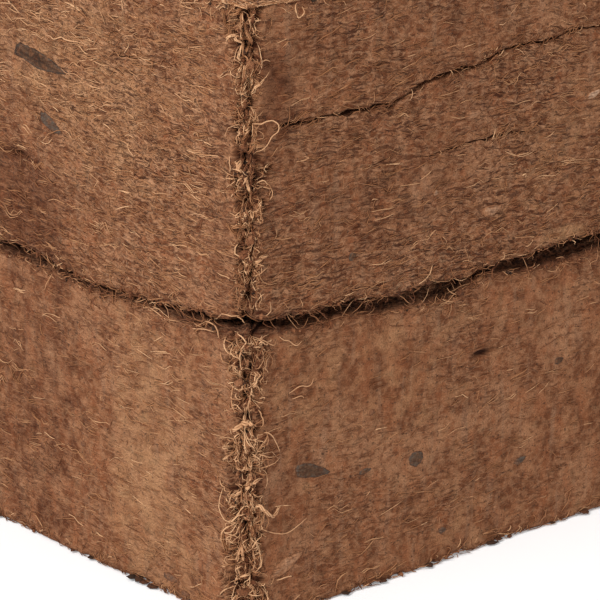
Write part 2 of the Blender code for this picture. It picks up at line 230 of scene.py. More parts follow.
# Loose strands that were traced one by one: thickness, tone, stand-off in the middle, free end, places.
# Those that start above the seam belong to the upper layer.
STRANDS = (
    (0.34, 0.86, 0.7, 0, ((0, 96.5), (2, 94.5), (4, 93), (4.5, 91.5))),
    (0.34, 0.8, 0.6, 0, ((-9.5, 76.6), (-6.5, 77), (-4, 77), (-2.5, 77.2), (-1.5, 76.6), (-0.5, 75.6))),
    (0.36, 0.8, 1.2, 0, ((-15, 73.4), (-12.5, 74), (-10, 73.8), (-9, 72.8), (-9, 71.5), (-9, 70))),
    (0.36, 0.8, 0.6, 0, ((-19.5, 70.5), (-16.5, 71.3), (-13.5, 71.8), (-11, 71.6))),
    (0.4, 0.95, 1.1, 0, ((-4.5, 73.4), (-2.5, 73), (-1, 72.4), (0, 71), (-1.5, 69.5), (-2, 68), (-2.5, 65),
     (-1.5, 63), (0.5, 62))),
    (0.34, 0.78, 0.6, 0, ((-9.5, 67.5), (-8, 66), (-6.5, 64), (-5, 62.5))),
    (0.42, 0.7, 0.6, 0, ((-5.5, 61.5), (-5, 59), (-5, 57), (-4.6, 55), (-3.4, 53.6))),
    (0.3, 0.85, 0.7, 1, ((10.5, 71.4), (12, 70), (13.5, 69.5), (15.5, 68), (17.5, 68.6))),
    (0.32, 0.82, 0.8, 0, ((4, 72), (6, 71), (8.5, 69.5), (10, 70))),
    (0.3, 0.74, 0.6, 0, ((4.6, 64), (5.4, 65.8), (6, 66.4))),
    (0.5, 0.94, 0.8, 0, ((-7.5, 141.5), (-6.5, 142.5), (-5, 143), (-3.5, 142.5), (-3, 141.5), (-2.5, 140),
     (-3, 137.5), (-3, 135.5), (-3.5, 133.5))),
    (0.38, 0.84, 0.8, 0, ((-3, 148.3), (-2, 148.5), (-1.5, 147.5), (-1.5, 146.5), (-2, 145.5),
     (-2.5, 144))),
    (0.34, 0.8, 0.8, 1, ((2, 146), (2.2, 145), (3, 143.5), (3.5, 142))),
    (0.44, 0.7, 0.7, 0, ((-2, 139.5), (-1, 138.5), (0, 138), (0.4, 136.8))),
    (0.28, 0.78, 0.6, 0, ((5, 137), (6, 137.5), (7.5, 137), (8.5, 136.5))),
    (0.36, 0.86, 0.7, 0, ((-3, 129), (-1.5, 130), (0, 130.5), (1.5, 130.5))),
    (0.34, 0.88, 1, 1, ((16, 149.4), (15, 149), (14.5, 148), (15.5, 146), (17, 147), (16.5, 148.5))),
    (0.46, 0.66, 0.8, 0, ((-7.5, 147.5), (-4.5, 148), (-3, 149), (-1.5, 149.5), (1, 149.6))),
    (0.32, 0.88, 2.8, 0, ((0.5, 119), (2, 120.5), (2.5, 122), (4, 123.5), (6, 123.8), (7, 123.5),
     (8, 122.5), (8, 121), (6.5, 120), (5.5, 118), (4, 116.5), (3.5, 115.5))),
    (0.32, 0.8, 0.6, 0, ((-4.5, 121), (-4.5, 119.5), (-4, 118))),
    (0.36, 0.86, 0.7, 0, ((-4.5, 121), (-3, 121), (-1.5, 120.5), (0, 120.5))),
    (0.78, 0.82, 0.7, 0, ((-5, 114), (-4, 113), (-2.5, 111.5), (-1.5, 110.5))),
    (0.8, 0.9, 0.8, 0, ((-0.5, 110.5), (0, 109.5), (0.5, 107.5), (1, 105.5))),
    (0.24, 0.72, 0.5, 0, ((-10, 111.5), (-7.5, 111), (-5.5, 110.5), (-4, 110.5))),
    (0.34, 0.88, 1, 0, ((1, 102.5), (2, 101), (3, 102), (4, 103))),
    (0.3, 0.82, 0.7, 1, ((16, 112), (18, 112), (19.5, 112.5), (18.4, 113))),
    (0.3, 0.84, 0.5, 0, ((-16, 116.5), (-14.5, 116.5), (-12.5, 116))),
    (0.84, 0.86, 1, 0, ((-5, 49), (-3, 50), (-1, 51), (1, 51), (3, 50.5), (5.5, 49.5))),
    (0.4, 0.84, 0.7, 0, ((6.5, 48), (7.5, 48), (9, 46.5), (10, 45), (11.5, 42))),
    (0.38, 0.8, 0.8, 0, ((4.5, 54.5), (5, 53), (5.5, 51), (6, 49))),
    (0.34, 0.86, 1, 1, ((3.5, 56.5), (2, 56.5), (1, 56.5), (0.8, 55), (1.5, 53.5))),
    (0.4, 0.86, 0.8, 0, ((0.5, 43.5), (1.5, 41.5), (2.5, 40), (4, 38))),
    (0.36, 0.84, 0.9, 0, ((2.5, 41.5), (4, 43), (5.5, 43), (7.5, 42), (10, 41.5))),
    (0.62, 0.9, 1, 0, ((-6.5, 32), (-4, 33), (-2, 34), (0.5, 35), (2, 35.5), (3.5, 37), (6, 37))),
    (0.36, 0.8, 0.6, 0, ((-10, 35.5), (-8.5, 33.5), (-7.5, 32))),
    (0.34, 0.82, 0.7, 0, ((-3.5, 36), (-2, 35.5), (0.5, 35.5))),
    (0.4, 0.92, 1.1, 0, ((-10, 19), (-9, 21.5), (-7.5, 23.5), (-5, 25.5), (-3.5, 27.5), (-1.5, 29.5),
     (0.5, 30.5), (1.5, 29.5), (3.5, 27.5), (4, 26), (4.5, 23.5))),
    (0.62, 0.88, 1.6, 0, ((3, 29.5), (4.5, 30.5), (5.5, 29.5), (7, 28), (8.5, 27), (10, 27.5), (12, 28.5))),
    (0.38, 0.88, 0.9, 0, ((-3.5, 21.5), (-2, 23), (-0.5, 24.5), (1.5, 25.5))),
    (0.66, 0.84, 1.2, 0, ((-3.5, 16), (-3, 18), (-2.5, 19.5), (-1, 19.5), (-1, 18), (-0.5, 16.5),
     (2, 15.5))),
    (0.44, 0.78, 0.6, 0, ((-7.5, 16), (-5.5, 16.2), (-3.5, 16))),
    (0.42, 0.94, 0.9, 1, ((-6, 11), (-3.5, 11.5), (-2, 11.5), (-1.5, 10))),
    (0.38, 0.88, 0.7, 0, ((-9.5, 6), (-7.5, 8), (-5, 9.5))),
    (0.36, 0.84, 0.8, 0, ((6.5, 18), (5.5, 15.5), (5, 14.5), (3, 13))),
    (0.34, 0.82, 0.8, 1, ((5, 25), (7, 23.5), (10.5, 22), (14, 21.4), (20, 23.5))),
    (0.4, 0.92, 0.8, 0, ((11, 9.5), (13.5, 10), (16, 9.5))),
    (0.36, 0.86, 0.8, 0, ((-1, 6), (1, 8), (3, 9))),
    (0.3, 0.84, 0.7, 0, ((14, 56), (17, 57.5), (20, 57), (22, 58.5))),
    (0.26, 0.8, 0.6, 0, ((15, 54.5), (17.5, 55), (19, 53.8))),
    (0.36, 0.9, 0.5, 0, ((-76, 131.2), (-73, 131.8), (-71, 131.4), (-68, 132.4), (-66, 132.1), (-62, 132.2),
     (-60, 131.9))),
    (0.24, 0.8, 0.4, 0, ((-70, 124.8), (-66, 123.8), (-63, 124.2), (-60, 123.2))),
)

# Ways out of the icosahedron that a crumb is made from, and its faces
GOLDEN = (1 + math.sqrt(5)) / 2
CRUMB_POINTS = np.array([
    (-1, GOLDEN, 0), (1, GOLDEN, 0), (-1, -GOLDEN, 0), (1, -GOLDEN, 0), (0, -1, GOLDEN), (0, 1, GOLDEN),
    (0, -1, -GOLDEN), (0, 1, -GOLDEN), (GOLDEN, 0, -1), (GOLDEN, 0, 1), (-GOLDEN, 0, -1), (-GOLDEN, 0, 1),
]) / math.sqrt(1 + GOLDEN ** 2)
CRUMB_FACES = (
    (0, 11, 5), (0, 5, 1), (0, 1, 7), (0, 7, 10), (0, 10, 11), (1, 5, 9), (5, 11, 4), (11, 10, 2),
    (10, 7, 6), (7, 1, 8), (3, 9, 4), (3, 4, 2), (3, 2, 6), (3, 6, 8), (3, 8, 9), (4, 9, 5),
    (2, 4, 11), (6, 2, 10), (8, 6, 7), (9, 8, 1),
)

# The camera stands where the photographer stood
CAMERA_AZIMUTH = math.radians(48.0926)
CAMERA_ELEVATION = math.radians(17.0934)
CAMERA_ROLL = math.radians(0.5001)
CAMERA_PLACE = Vector((0.648, -0.5801, 0.2846))
CAMERA_LENS = 180.0
CAMERA_SENSOR = 36.0

# The floor's half length and how far it lies below the foot, and the key light's place and width, in metres
FLOOR_REACH = 8.0
FLOOR_DROP = 0.0002
KEY_PLACE = (0.56, -1.55, 1.26)
KEY_WIDTH = 0.6


# Noise and small helpers

EDGE_WAYS = np.array([
    (1, 1, 0), (-1, 1, 0), (1, -1, 0), (-1, -1, 0), (1, 0, 1), (-1, 0, 1),
    (1, 0, -1), (-1, 0, -1), (0, 1, 1), (0, -1, 1), (0, 1, -1), (0, -1, -1),
], float)
NOISE_GAIN = 1.35
TABLE = 256


def ease(x):
    """Smooth step from 0 to 1."""
    x = np.clip(x, 0.0, 1.0)
    return x * x * (3.0 - 2.0 * x)


def noise(places, pitch, seed):
    """Smooth random values, about -1 to 1, at places in space. pitch is the size of its lumps."""
    order = np.random.default_rng(seed).permutation(TABLE)
    scaled = np.asarray(places, float) / pitch
    cell = np.floor(scaled).astype(int)
    part = scaled - cell
    fade = part ** 3 * (part * (part * 6 - 15) + 10)
    total = np.zeros(scaled.shape[:-1])
    for corner in product((0, 1), repeat=3):
        step = np.array(corner)
        c = (cell + step) % TABLE
        key = order[(order[(order[c[..., 0]] + c[..., 1]) % TABLE] + c[..., 2]) % TABLE]
        slope = (EDGE_WAYS[key % len(EDGE_WAYS)] * (part - step)).sum(-1)
        total += slope * np.prod(np.where(step == 1, fade, 1 - fade), axis=-1)
    return total * NOISE_GAIN


def waves(distance, turns_and_phases):
    """Mean of waves that close round the bale, between -1 and 1."""
    angle = 2 * math.pi * distance / PERIMETER
    return sum(np.sin(turns * angle + phase) for turns, phase in turns_and_phases) / len(turns_and_phases)


def within(s, first, last, blend):
    """1 between first and last, fading to 0 over blend outside them."""
    return ease((s - first + blend) / blend) * ease((last + blend - s) / blend)


def line_height(distance, line):
    """Height of a surveyed line at distances round the bale."""
    places, heights = zip(*line)
    return np.interp(distance, places, heights)


def joined(*columns):
    """Columns of numbers side by side, such as places from their distances and heights."""
    return np.stack(columns, axis=-1)


def in_space(distance, height=0.0, layer=0.0):
    """The plain square's points, for noise that runs on unbroken round the corners."""
    level = np.broadcast_to(height + layer, np.shape(distance))
    return np.concatenate([plain_square(distance)[0], level[..., None]], axis=-1)


def stretches(hidden, seen):
    """The sides as three stretches: first and last distance, and a value for hidden or for seen felt."""
    return (-BACK, SEEN_LEFT, hidden), (SEEN_LEFT, SEEN_RIGHT, seen), (SEEN_RIGHT, BACK, hidden)


def layer_span(layer, edge, below_seam, above_seam):
    """Lowest and highest place on a layer's sides: edge keeps off its rim, the others keep off the seam."""
    return (edge, below_seam) if layer == LOWER else (above_seam, HEIGHT - edge)


# The form of the bale

def plain_square(distance):
    """Points of the plain square, how far past the nearest corner they are, and the two ways out there."""
    turn = np.floor(distance / SIDE).astype(int)
    along = distance - turn * SIDE
    face = turn % 4
    beyond = along > HALF
    point = START[face] + ALONG[face] * along[..., None]
    past_corner = np.where(beyond, along - SIDE, along)
    other = OUT[np.where(beyond, face + 1, face - 1) % 4]
    return point, past_corner, OUT[face], other


def face_hollow(distance, height):
    """How far a pressed face lies inside its flat plane, as in the solids."""
    up = np.sin(2 * math.pi * (height / 96.0 + 3 * distance / PERIMETER))
    share = 0.4 + 0.4 * waves(distance, HOLLOW_WAVES) + 0.2 * up
    return FACE_HOLLOW * np.maximum(0.0, share)


def seam_lips(distance):
    """Heights of the seam's lower and upper lip."""
    height = SEAM_HEIGHT + SEAM_WANDER * waves(distance, SEAM_WANDER_WAVES)
    mouth = SEAM_MOUTH + SEAM_MOUTH_SPREAD * waves(distance, SEAM_MOUTH_WAVES)
    surveyed = within(distance, LOWER_LIP[0][0], LOWER_LIP[-1][0], SEAM_BLEND)
    low = height - mouth / 2
    high = height + mouth / 2
    low = low + surveyed * (line_height(distance, LOWER_LIP) - low)
    high = high + surveyed * (line_height(distance, UPPER_LIP) - high)
    return low, high


def dents(distance, height):
    """Depth of the pits and gouges at places on the sides."""
    depth = np.zeros(np.broadcast(distance, height).shape)
    for place, level, length, tall, deep in DENTS:
        spread = ((distance - place) / length) ** 2 + ((height - level) / tall) ** 2
        depth = np.maximum(depth, deep * np.exp(-spread))
    return depth


def worn_corner(distance, height, bale):
    """Leg of the worn strip across the nearest corner, and how deep its pits are, as a share."""
    place = in_space(distance, height)
    upright = place * UPRIGHT
    leg = bale.strip * (1 + 0.28 * noise(upright, 11.0, 3) + 0.2 * noise(upright, 4.0, 4))
    relief = 0.95 * noise(place, 3.4, 5) + 0.85 * noise(place, 1.8, 6)
    return leg, np.maximum(relief, -0.3) + 0.3


def raw_reach(distance, height, left):
    """How far raw felt reaches from the nearest corner. left says on which side of the corner."""
    upright = in_space(distance, height) * UPRIGHT
    usual = USUAL_RAW * (1 + 0.3 * noise(upright, 9.0, 15))
    surveyed = within(distance, -SURVEYED_REACH, SURVEYED_REACH, 10.0)
    seen = np.where(left, line_height(height, RAW_LEFT), line_height(height, RAW_RIGHT))
    return usual + surveyed * (seen - usual)


def raw_strip(distance, height, past_corner):
    """Share of raw felt, from 1 on an upright corner to 0 past its two ragged edges."""
    place = in_space(distance, height)
    reach = raw_reach(distance, height, past_corner < 0)
    reach = reach * (1 + 0.3 * noise(place, 4.0, 16) + 0.25 * noise(place, 1.7, 17))
    return ease((reach - np.abs(past_corner)) / 1.4 + 0.5)


def stains(distance, height):
    """How golden (above zero) or dark (below zero) the felt is at places on the sides. The dark in a shallow
    gouge near the top of the surveyed corner is painted shade.
    """
    place = in_space(distance, height)
    seen = within(distance, SEEN_LEFT, SEEN_RIGHT, 20.0)
    total = (1 - 0.7 * seen) * 0.9 * noise(place * (1, 1, 0.6), 34.0, 18)
    above = height > SEAM_HEIGHT
    for place, level, length, tall, golden in STAINS:
        spread = np.abs((distance - place) / length) ** 2.6 + np.abs((height - level) / tall) ** 2.6
        total = total + golden * np.exp(-spread) * (above == (level > SEAM_HEIGHT))
    return total


def on_chip(distance, height):
    """How much places on the sides are covered by the surveyed husk chips, from 0 to 1."""
    cover = np.zeros(np.shape(distance))
    for place, level, length, tall, tilt, _ in CHIPS:
        c, s = math.cos(math.radians(tilt)), math.sin(math.radians(tilt))
        x = (distance - place) * c + (height - level) * s
        y = (height - level) * c - (distance - place) * s
        cover = np.maximum(cover, ease(2.4 - 1.2 * np.hypot(x / (length + 0.6), y / (tall + 0.6))))
    return cover


def fibrousness(distance, height):
    """Share of fibre in the felt, from smooth pith to all fibre."""
    left = within(distance, -260.0, -4.0, 8.0)
    right = within(distance, 4.0, 260.0, 8.0)
    above = ease((height - SEAM_HEIGHT) / 3.0 + 0.5)
    over_crack = ease((height - line_height(distance, UPPER_CRACK)) / 4.0)
    share_above = 0.86 + 0.02 * left - (0.1 + 0.13 * over_crack) * right
    share_below = 0.43 + 0.05 * left - 0.13 * right
    place = in_space(distance, height)
    uneven = 0.22 * noise(place, 28.0, 8) + 0.16 * noise(place, 9.0, 9)
    return np.clip(share_below + (share_above - share_below) * above + uneven, 0.12, 1.15)


class Bale:
    """The settings that a user may change, with lengths in millimetres."""

    def __init__(self, scene):
        form = scene.bale_form
        self.strip = form.corner_strip / MM
        self.pits = form.corner_pits / MM
        self.lumps = form.felt_lumps / MM
        self.lip_drop = form.lip_drop / MM
        self.radius = scene.bale_fibres.radius / MM
        self.density = scene.bale_fibres.density
        self.tangle = scene.bale_fibres.tangle

    def thick(self, rng, least, most, count):
        """Random radii of fibres, between two shares of the usual one."""
        return self.radius * rng.uniform(least, most, count)


def skin_place(distance, height, bale, inset=0.0, depth=0.0, lift=0.0):
    """Points on the bale's sides. inset is towards the middle, depth into the face, and lift out of it."""
    point, past_corner, own, other = plain_square(distance)
    inset, lift = np.broadcast_to(inset, distance.shape), np.broadcast_to(lift, distance.shape)
    place = in_space(distance, height)
    lumps = bale.lumps * (noise(place, 9.0, 1) + 0.55 * noise(place, 3.4, 2) + 0.3 * noise(place, 1.7, 7))
    leg, pits = worn_corner(distance, height, bale)
    worn = ease(1.15 - np.abs(past_corner) / leg)
    pits = bale.pits * pits * raw_strip(distance, height, past_corner)
    deep = depth + (1 - ease(inset / FLAT_EDGE)) * (dents(distance, height) + pits)
    into_face = (face_hollow(distance, height) + lumps + deep) * (1 - worn)
    into_corner = np.maximum(0.0, leg - np.abs(past_corner)) / 2 + deep * worn * 0.7
    flat = point - own * into_face[..., None] - (own + other) * into_corner[..., None]
    away = own + other * worn[..., None]
    away /= np.linalg.norm(away, axis=-1, keepdims=True)
    flat = flat * (1 - inset / HALF)[..., None] + away * lift[..., None]
    return np.concatenate([flat, height[..., None]], axis=-1)


def top_place(x, y, lift):
    """Points on the bale's top, which is flat apart from the fibres' own relief."""
    place = joined(x, y, np.zeros_like(x))
    dip = 0.12 + 0.12 * noise(place, 14.0, 21) + 0.1 * noise(place, 5.0, 22)
    return joined(x, y, HEIGHT - np.maximum(dip, 0.0) + lift)


# The skins

# Insets of the levels that lie flat: under the bale, deep in the seam and on the top
BASE_INSETS = (120.0, 75.0, 30.0, 8.0, 2.5)
SEAM_END_INSETS = (60.0, 120.0)
TOP_INSETS = (2.6, 4.6, 7.5, 11.5, 17.0, 24.0, 34.0, 48.0, 66.0, 88.0, 114.0, 138.0)

# A lip's rounding: share of its drop, inset and how raw it is. As the lip turns into the seam the rawness also
# paints the seam's shade.
LIP_ROUNDING = ((1.0, 0.0, 0.15), (0.6, 0.12, 0.4), (0.28, 0.42, 0.7), (0.0, 1.0, 0.9))

# Half height of the room that each bedding line takes up between the even levels
BED_ROOM = 1.6

# The golden mat on the top, at the surveyed corner
TOP_MAT_REACH = 34.0
TOP_MAT_STAIN = 1.4

# Where the felt's map of the flat parts lies, and the width and the gaps of the unrolled layout's sheet
FLAT_SHIFT = (2000.0, 0.0)
SHEET = 640.0
SHEET_GAP = 4.0


class Stack:
    """Levels of a layer's skin from the bottom up: a height, an inset and a depth at every column."""

    def __init__(self, bale):
        self.distance = np.concatenate([
            np.linspace(first, last, max(1, round((last - first) / pitch)), endpoint=False)
            for first, last, pitch in COLUMNS])
        self.bale = bale
        self.rows = []

    def whole(self, value):
        return np.broadcast_to(np.asarray(value, float), self.distance.shape)

    def add(self, height, inset=0.0, depth=0.0, torn_and_shade=0.0, flat=False):
        """One level. Its rawness is how raw its felt is, and inside the seam and the cracks it is also painted
        shade; flat says that its faces lie level.
        """
        self.rows.append((self.whole(height), self.whole(inset), self.whole(depth), self.whole(torn_and_shade), flat))

    def columns(self):
        """All levels' heights, insets, depths, rawness (which also carries painted shade) and flatness, each
        as one array.
        """
        return [np.array(values) for values in zip(*self.rows)]

    def fill(self, low, high):
        """Levels between two heights, which they leave out, drawn together at the dents."""
        count = max(2, round(float(np.mean(high - low)) / LEVEL_PITCH))
        for n in range(1, count):
            height = low + (high - low) * n / count
            for place, level, length, tall, _ in DENTS:
                along, up = (self.distance - place) / (2 * length), (height - level) / (4 * tall)
                height = height + DENT_PULL * np.exp(-along ** 2 - up ** 2) * (level - height)
            self.add(height)

    def crack(self, line, openings, seed):
        """The levels of a bedding line. Returns the height of its last level."""
        d = self.distance
        place = in_space(d)
        middle = line_height(d, line) + 0.3 * noise(place, 5.0, seed) + 0.32 * noise(place, 2.2, seed + 1)
        mouth = self.whole(CLOSED_MOUTH).copy()
        depth = np.zeros_like(d)
        ragged = 0.85 + 0.7 * noise(place, 6.0, seed + 2) + 0.4 * noise(place, 2.2, seed + 3)
        for first, last, wide, deep in openings:
            opened = ease((d - first) / CRACK_FADE) * ease((last - d) / CRACK_FADE)
            mouth += opened * (wide * np.maximum(ragged, 0.35) - CLOSED_MOUTH)
            depth += opened * deep
        for across, share, dark in CRACK_PROFILE:
            height = middle + across * mouth / 2
            self.add(height, depth=share * depth, torn_and_shade=dark * ease(depth / 1.5))
        return height

    def around(self):
        """Distances round at the corners of every four-sided face, which run on past the last column."""
        d = self.distance
        following = np.append(d[1:], d[0] + PERIMETER)
        return np.tile(joined(d, following, following, d), (len(self.rows) - 1, 1))


def lip_shape(d, upper, bale):
    """Height of a ragged lip, and how far its rounding reaches down or up the face."""
    low, high = seam_lips(d)
    place = in_space(d, layer=500.0 * upper)
    loose = np.minimum(0.5, 0.36 * (high - low))
    ragged = loose * (noise(place, 3.2, 31 + upper) + 0.6 * noise(place, 1.3, 33 + upper))
    drop = bale.lip_drop * (1 + 0.35 * noise(place, 7.0, 35 + upper))
    if not upper:
        drop = drop + 1.9 * within(d, -17.0, 3.0, 5.0)
    return (high if upper else low) + ragged, drop


def seam_rows(stack, upper):
    """Heights, insets and rawness of a seam face's levels, from the lip inwards. Inside the seam the rawness
    is painted shade.
    """
    d = stack.distance
    lip, drop = lip_shape(d, upper, stack.bale)
    low, high = seam_lips(d)
    up = 1 if upper else -1
    plane = SEAM_HEIGHT + up * SEAM_REST_GAP / 2
    # Painted shade: the seam's rawness is raised where it gapes, most of all at the surveyed corner, where the
    # gap is painted black
    rawer_and_darker = 1 + 0.9 * within(d, -112.0, 16.0, 6.0) + 2.0 * within(d, -2.0, 9.0, 4.0)
    rows = []
    for share, inset, torn_and_shade in LIP_ROUNDING:
        rows.append((lip + up * share * drop, inset * (0.6 + 0.5 * drop), np.minimum(torn_and_shade * rawer_and_darker, 0.92)))
    sooner = 1 + sum(extra * within(d, first, last, 8.0) for first, last, extra in SEAM_SHALLOWS)
    for inset in SEAM_INSETS:
        levelled = np.interp(inset * sooner, *zip(*SEAM_LEVELLING))
        gap = (high - low) * (1 - levelled) + SEAM_REST_GAP
        place = in_space(d, inset, 900.0 * upper)
        rough = 0.2 * gap * noise(place, 2.4, 37 + upper) * (levelled < 1)
        rounding = 1.6 * (0.5 + 0.5 * drop) * (inset < 4)
        rows.append((lip + (plane - lip) * levelled + rough, rounding + inset, 1.0))
    return rows


def lower_stack(bale):
    """Levels of the lower layer, from the floor up to the seam."""
    stack = Stack(bale)
    d = stack.distance
    place = in_space(d)
    chipped = np.maximum(0.0, 1.0 * noise(place, 7.0, 51) + 0.8 * noise(place, 2.2, 52) - 0.05)
    for inset in BASE_INSETS:
        stack.add(0.0, inset=inset, flat=True)
    stack.add(0.0, inset=0.8 + 1.8 * chipped, flat=True)
    stack.add(0.25 + 0.8 * chipped, inset=0.3 + 1.1 * chipped, torn_and_shade=0.45)
    stack.add(0.7 + 1.1 * chipped, inset=0.06 + 0.45 * chipped, torn_and_shade=0.2)
    start = stack.whole(2.0)
    stack.add(start)
    bed = line_height(d, LOWER_BED)
    stack.fill(start, bed - BED_ROOM)
    last = stack.crack(LOWER_BED, LOWER_BED_OPEN, 61)
    rows = seam_rows(stack, False)
    stack.fill(np.maximum(last, bed + 0.4), rows[0][0])
    for height, inset, torn_and_shade in rows:
        stack.add(height, inset=inset, torn_and_shade=torn_and_shade)
    for inset in SEAM_END_INSETS:
        stack.add(SEAM_HEIGHT - SEAM_REST_GAP / 2, inset=inset, torn_and_shade=1.0, flat=True)
    return stack


def upper_stack(bale):
    """Levels of the upper layer, from the seam up to the top."""
    stack = Stack(bale)
    d = stack.distance
    for inset in SEAM_END_INSETS[::-1]:
        stack.add(SEAM_HEIGHT + SEAM_REST_GAP / 2, inset=inset, torn_and_shade=1.0, flat=True)
    rows = seam_rows(stack, True)
    for height, inset, torn_and_shade in rows[::-1]:
        stack.add(height, inset=inset, torn_and_shade=torn_and_shade)
    stack.fill(rows[0][0], line_height(d, UPPER_BED) - BED_ROOM)
    last = stack.crack(UPPER_BED, UPPER_BED_OPEN, 71)
    stack.fill(last, line_height(d, UPPER_CRACK) - BED_ROOM)
    last = stack.crack(UPPER_CRACK, UPPER_CRACK_OPEN, 81)
    place = in_space(d)
    chipped = np.maximum(0.0, 0.8 * noise(place, 5.0, 53) + 0.5 * noise(place, 2.0, 54))
    edge = HEIGHT - 1.7 - chipped
    stack.fill(last, edge)
    stack.add(edge, torn_and_shade=0.1)
    stack.add(HEIGHT - 1.0 - 0.8 * chipped, inset=0.12, torn_and_shade=0.2)
    stack.add(HEIGHT - 0.45 - 0.5 * chipped, inset=0.5 + 0.2 * chipped, torn_and_shade=0.25)
    stack.add(HEIGHT - 0.15 - 0.2 * chipped, inset=1.2 + 0.5 * chipped, torn_and_shade=0.2)
    for inset in TOP_INSETS:
        stack.add(HEIGHT, inset=inset, flat=True)
    return stack


def face_number(distance):
    """Which side face a distance round the bale lies on."""
    return np.floor(distance / SIDE).astype(int) % 4


def skin_rings(stack, top):
    """Points of a skin, levels x columns x 3. The upper layer's flat top has its own relief."""
    rings = []
    for height, inset, depth, _, flat in stack.rows:
        ring = skin_place(stack.distance, height, stack.bale, inset=inset, depth=depth)
        if flat and top and height[0] == HEIGHT:
            ring = top_place(ring[:, 0], ring[:, 1], 0.0)
        rings.append(ring)
    return np.array(rings)


def skin_faces(levels, count):
    """Four-sided faces between the levels, and the three-sided ones round the centre point at each end."""
    i = np.arange(count)
    j = (i + 1) % count
    rows = np.arange(levels - 1)[:, None] * count
    quads = joined(rows + i, rows + j, rows + j + count, rows + i + count).reshape(-1, 4)
    centre = levels * count
    last = centre - count
    low_cap = joined(np.full(count, centre), j, i)
    high_cap = joined(np.full(count, centre + 1), last + i, last + j)
    return quads, np.concatenate([low_cap, high_cap])


def felt_map(stack, top, points, quads, caps):
    """The felt's map in millimetres: distance round and travel up the skin, or x and y where it lies flat."""
    height, inset, depth, _, flat = stack.columns()
    travel = height - (inset + depth) if top else height + (inset + depth)
    lies_flat = np.repeat(flat[:-1] & flat[1:], len(stack.distance))
    on_side = joined(stack.around(), travel.ravel()[quads])
    felt = np.where(lies_flat[:, None, None], points[quads, :2] + FLAT_SHIFT, on_side)
    return np.concatenate([felt.reshape(-1, 2), (points[caps, :2] + FLAT_SHIFT).reshape(-1, 2)])


def in_square(points, above):
    """Where the flat faces at a skin's two ends lie on the sheet. above says which are at the upper end."""
    square = SIDE + SHEET_GAP
    return points[..., :2] + HALF + joined(np.full(len(above), square), square * above)[:, None]


def sheet_layout(stack, points, quads, caps):
    """The unrolled layout of the skin on one sheet: four strips and two flat squares."""
    count = len(stack.distance)
    rings = points[:-2].reshape(-1, count, 3)
    steps = np.linalg.norm(np.diff(rings, axis=0), axis=-1).mean(axis=1)
    ladder = np.concatenate([[0.0], np.cumsum(np.maximum(steps, 0.05))])
    sides = np.flatnonzero(~stack.columns()[4])
    ladder -= ladder[sides[0]]
    row = np.repeat(np.arange(len(steps)), count)
    middle = np.tile(stack.distance + 0.01, len(steps))
    on_face = stack.around() - (np.floor(middle / SIDE) * SIDE)[:, None]
    slot = (face_number(middle) + 2) % 4 * (ladder[sides[-1]] + SHEET_GAP)
    in_strip = joined(on_face, slot[:, None] + ladder[row[:, None] + (0, 0, 1, 1)])
    above = row >= sides[-1]
    at_end = above | (row < sides[0])
    layout = np.where(at_end[:, None, None], in_square(points[quads], above), in_strip)
    ends = in_square(points[caps], np.repeat([False, True], count))
    return np.concatenate([layout.reshape(-1, 2), ends.reshape(-1, 2)]) / SHEET + 0.002


def felt_values(stack, top, rings):
    """What the felt's finish reads at every point, each with what it reads at the two centre points."""
    _, inset, _, torn_and_shade, flat = stack.columns()
    flat = flat[:, None]
    height = rings[..., 2]
    distance = np.broadcast_to(stack.distance, height.shape)
    raw = raw_strip(distance, height, np.broadcast_to(plain_square(stack.distance)[1], height.shape))
    # Painted shade in the dents and in the hollows of the worn strip's raw felt
    hollows = ease((worn_corner(distance, height, stack.bale)[1] - 0.3) / 0.6)
    painted_pit_shade = np.maximum(np.clip(dents(distance, height) / 1.2, 0, 1), hollows * raw)
    near_edge = np.where(flat, 1 - ease(inset / FLAT_EDGE), 1.0)
    stain_and_gouge_shade = stains(distance, height)
    if top:
        from_corner = np.hypot(rings[..., 0] - HALF, rings[..., 1] + HALF)
        stain_and_gouge_shade = np.where(flat, TOP_MAT_STAIN * np.exp(-(from_corner / TOP_MAT_REACH) ** 2), stain_and_gouge_shade)
    level_felt = 0.72 + 0.25 * noise(rings, 16.0, 10)
    across = np.abs(OUT[face_number(stack.distance)][:, 0])
    return {
        "torn_and_shade": (torn_and_shade, 1.0),
        "worn": (raw * near_edge * (torn_and_shade < 0.9), 0.0),
        "stain": (stain_and_gouge_shade, 0.0),
        "painted_pit_shade": (painted_pit_shade * near_edge, 0.0),
        "fibrous": (np.where(flat, level_felt, fibrousness(distance, height)), 0.7),
        "bedding": (np.where(flat, 0.3, 0.8 + 0.35 * across), 0.3),
    }


def skin_mesh(name, stack, top):
    """A closed mesh over a stack of levels, with a centre point at each end."""
    rings = skin_rings(stack, top)
    centres = [(0.0, 0.0, float(rings[end, :, 2].mean())) for end in (0, -1)]
    points = np.concatenate([rings.reshape(-1, 3), centres])
    quads, caps = skin_faces(*rings.shape[:2])
    corners = np.concatenate([quads.ravel(), caps.ravel()])
    sizes = np.concatenate([np.full(len(quads), 4), np.full(len(caps), 3)])
    mesh = quick_mesh(name, points, corners, sizes, {
        "felt": felt_map(stack, top, points, quads, caps),
        "OFBake": sheet_layout(stack, points, quads, caps)})
    for label, (values, at_centres) in felt_values(stack, top, rings).items():
        add_values(mesh, label, np.append(values, [at_centres, at_centres]))
    return mesh


# Making meshes

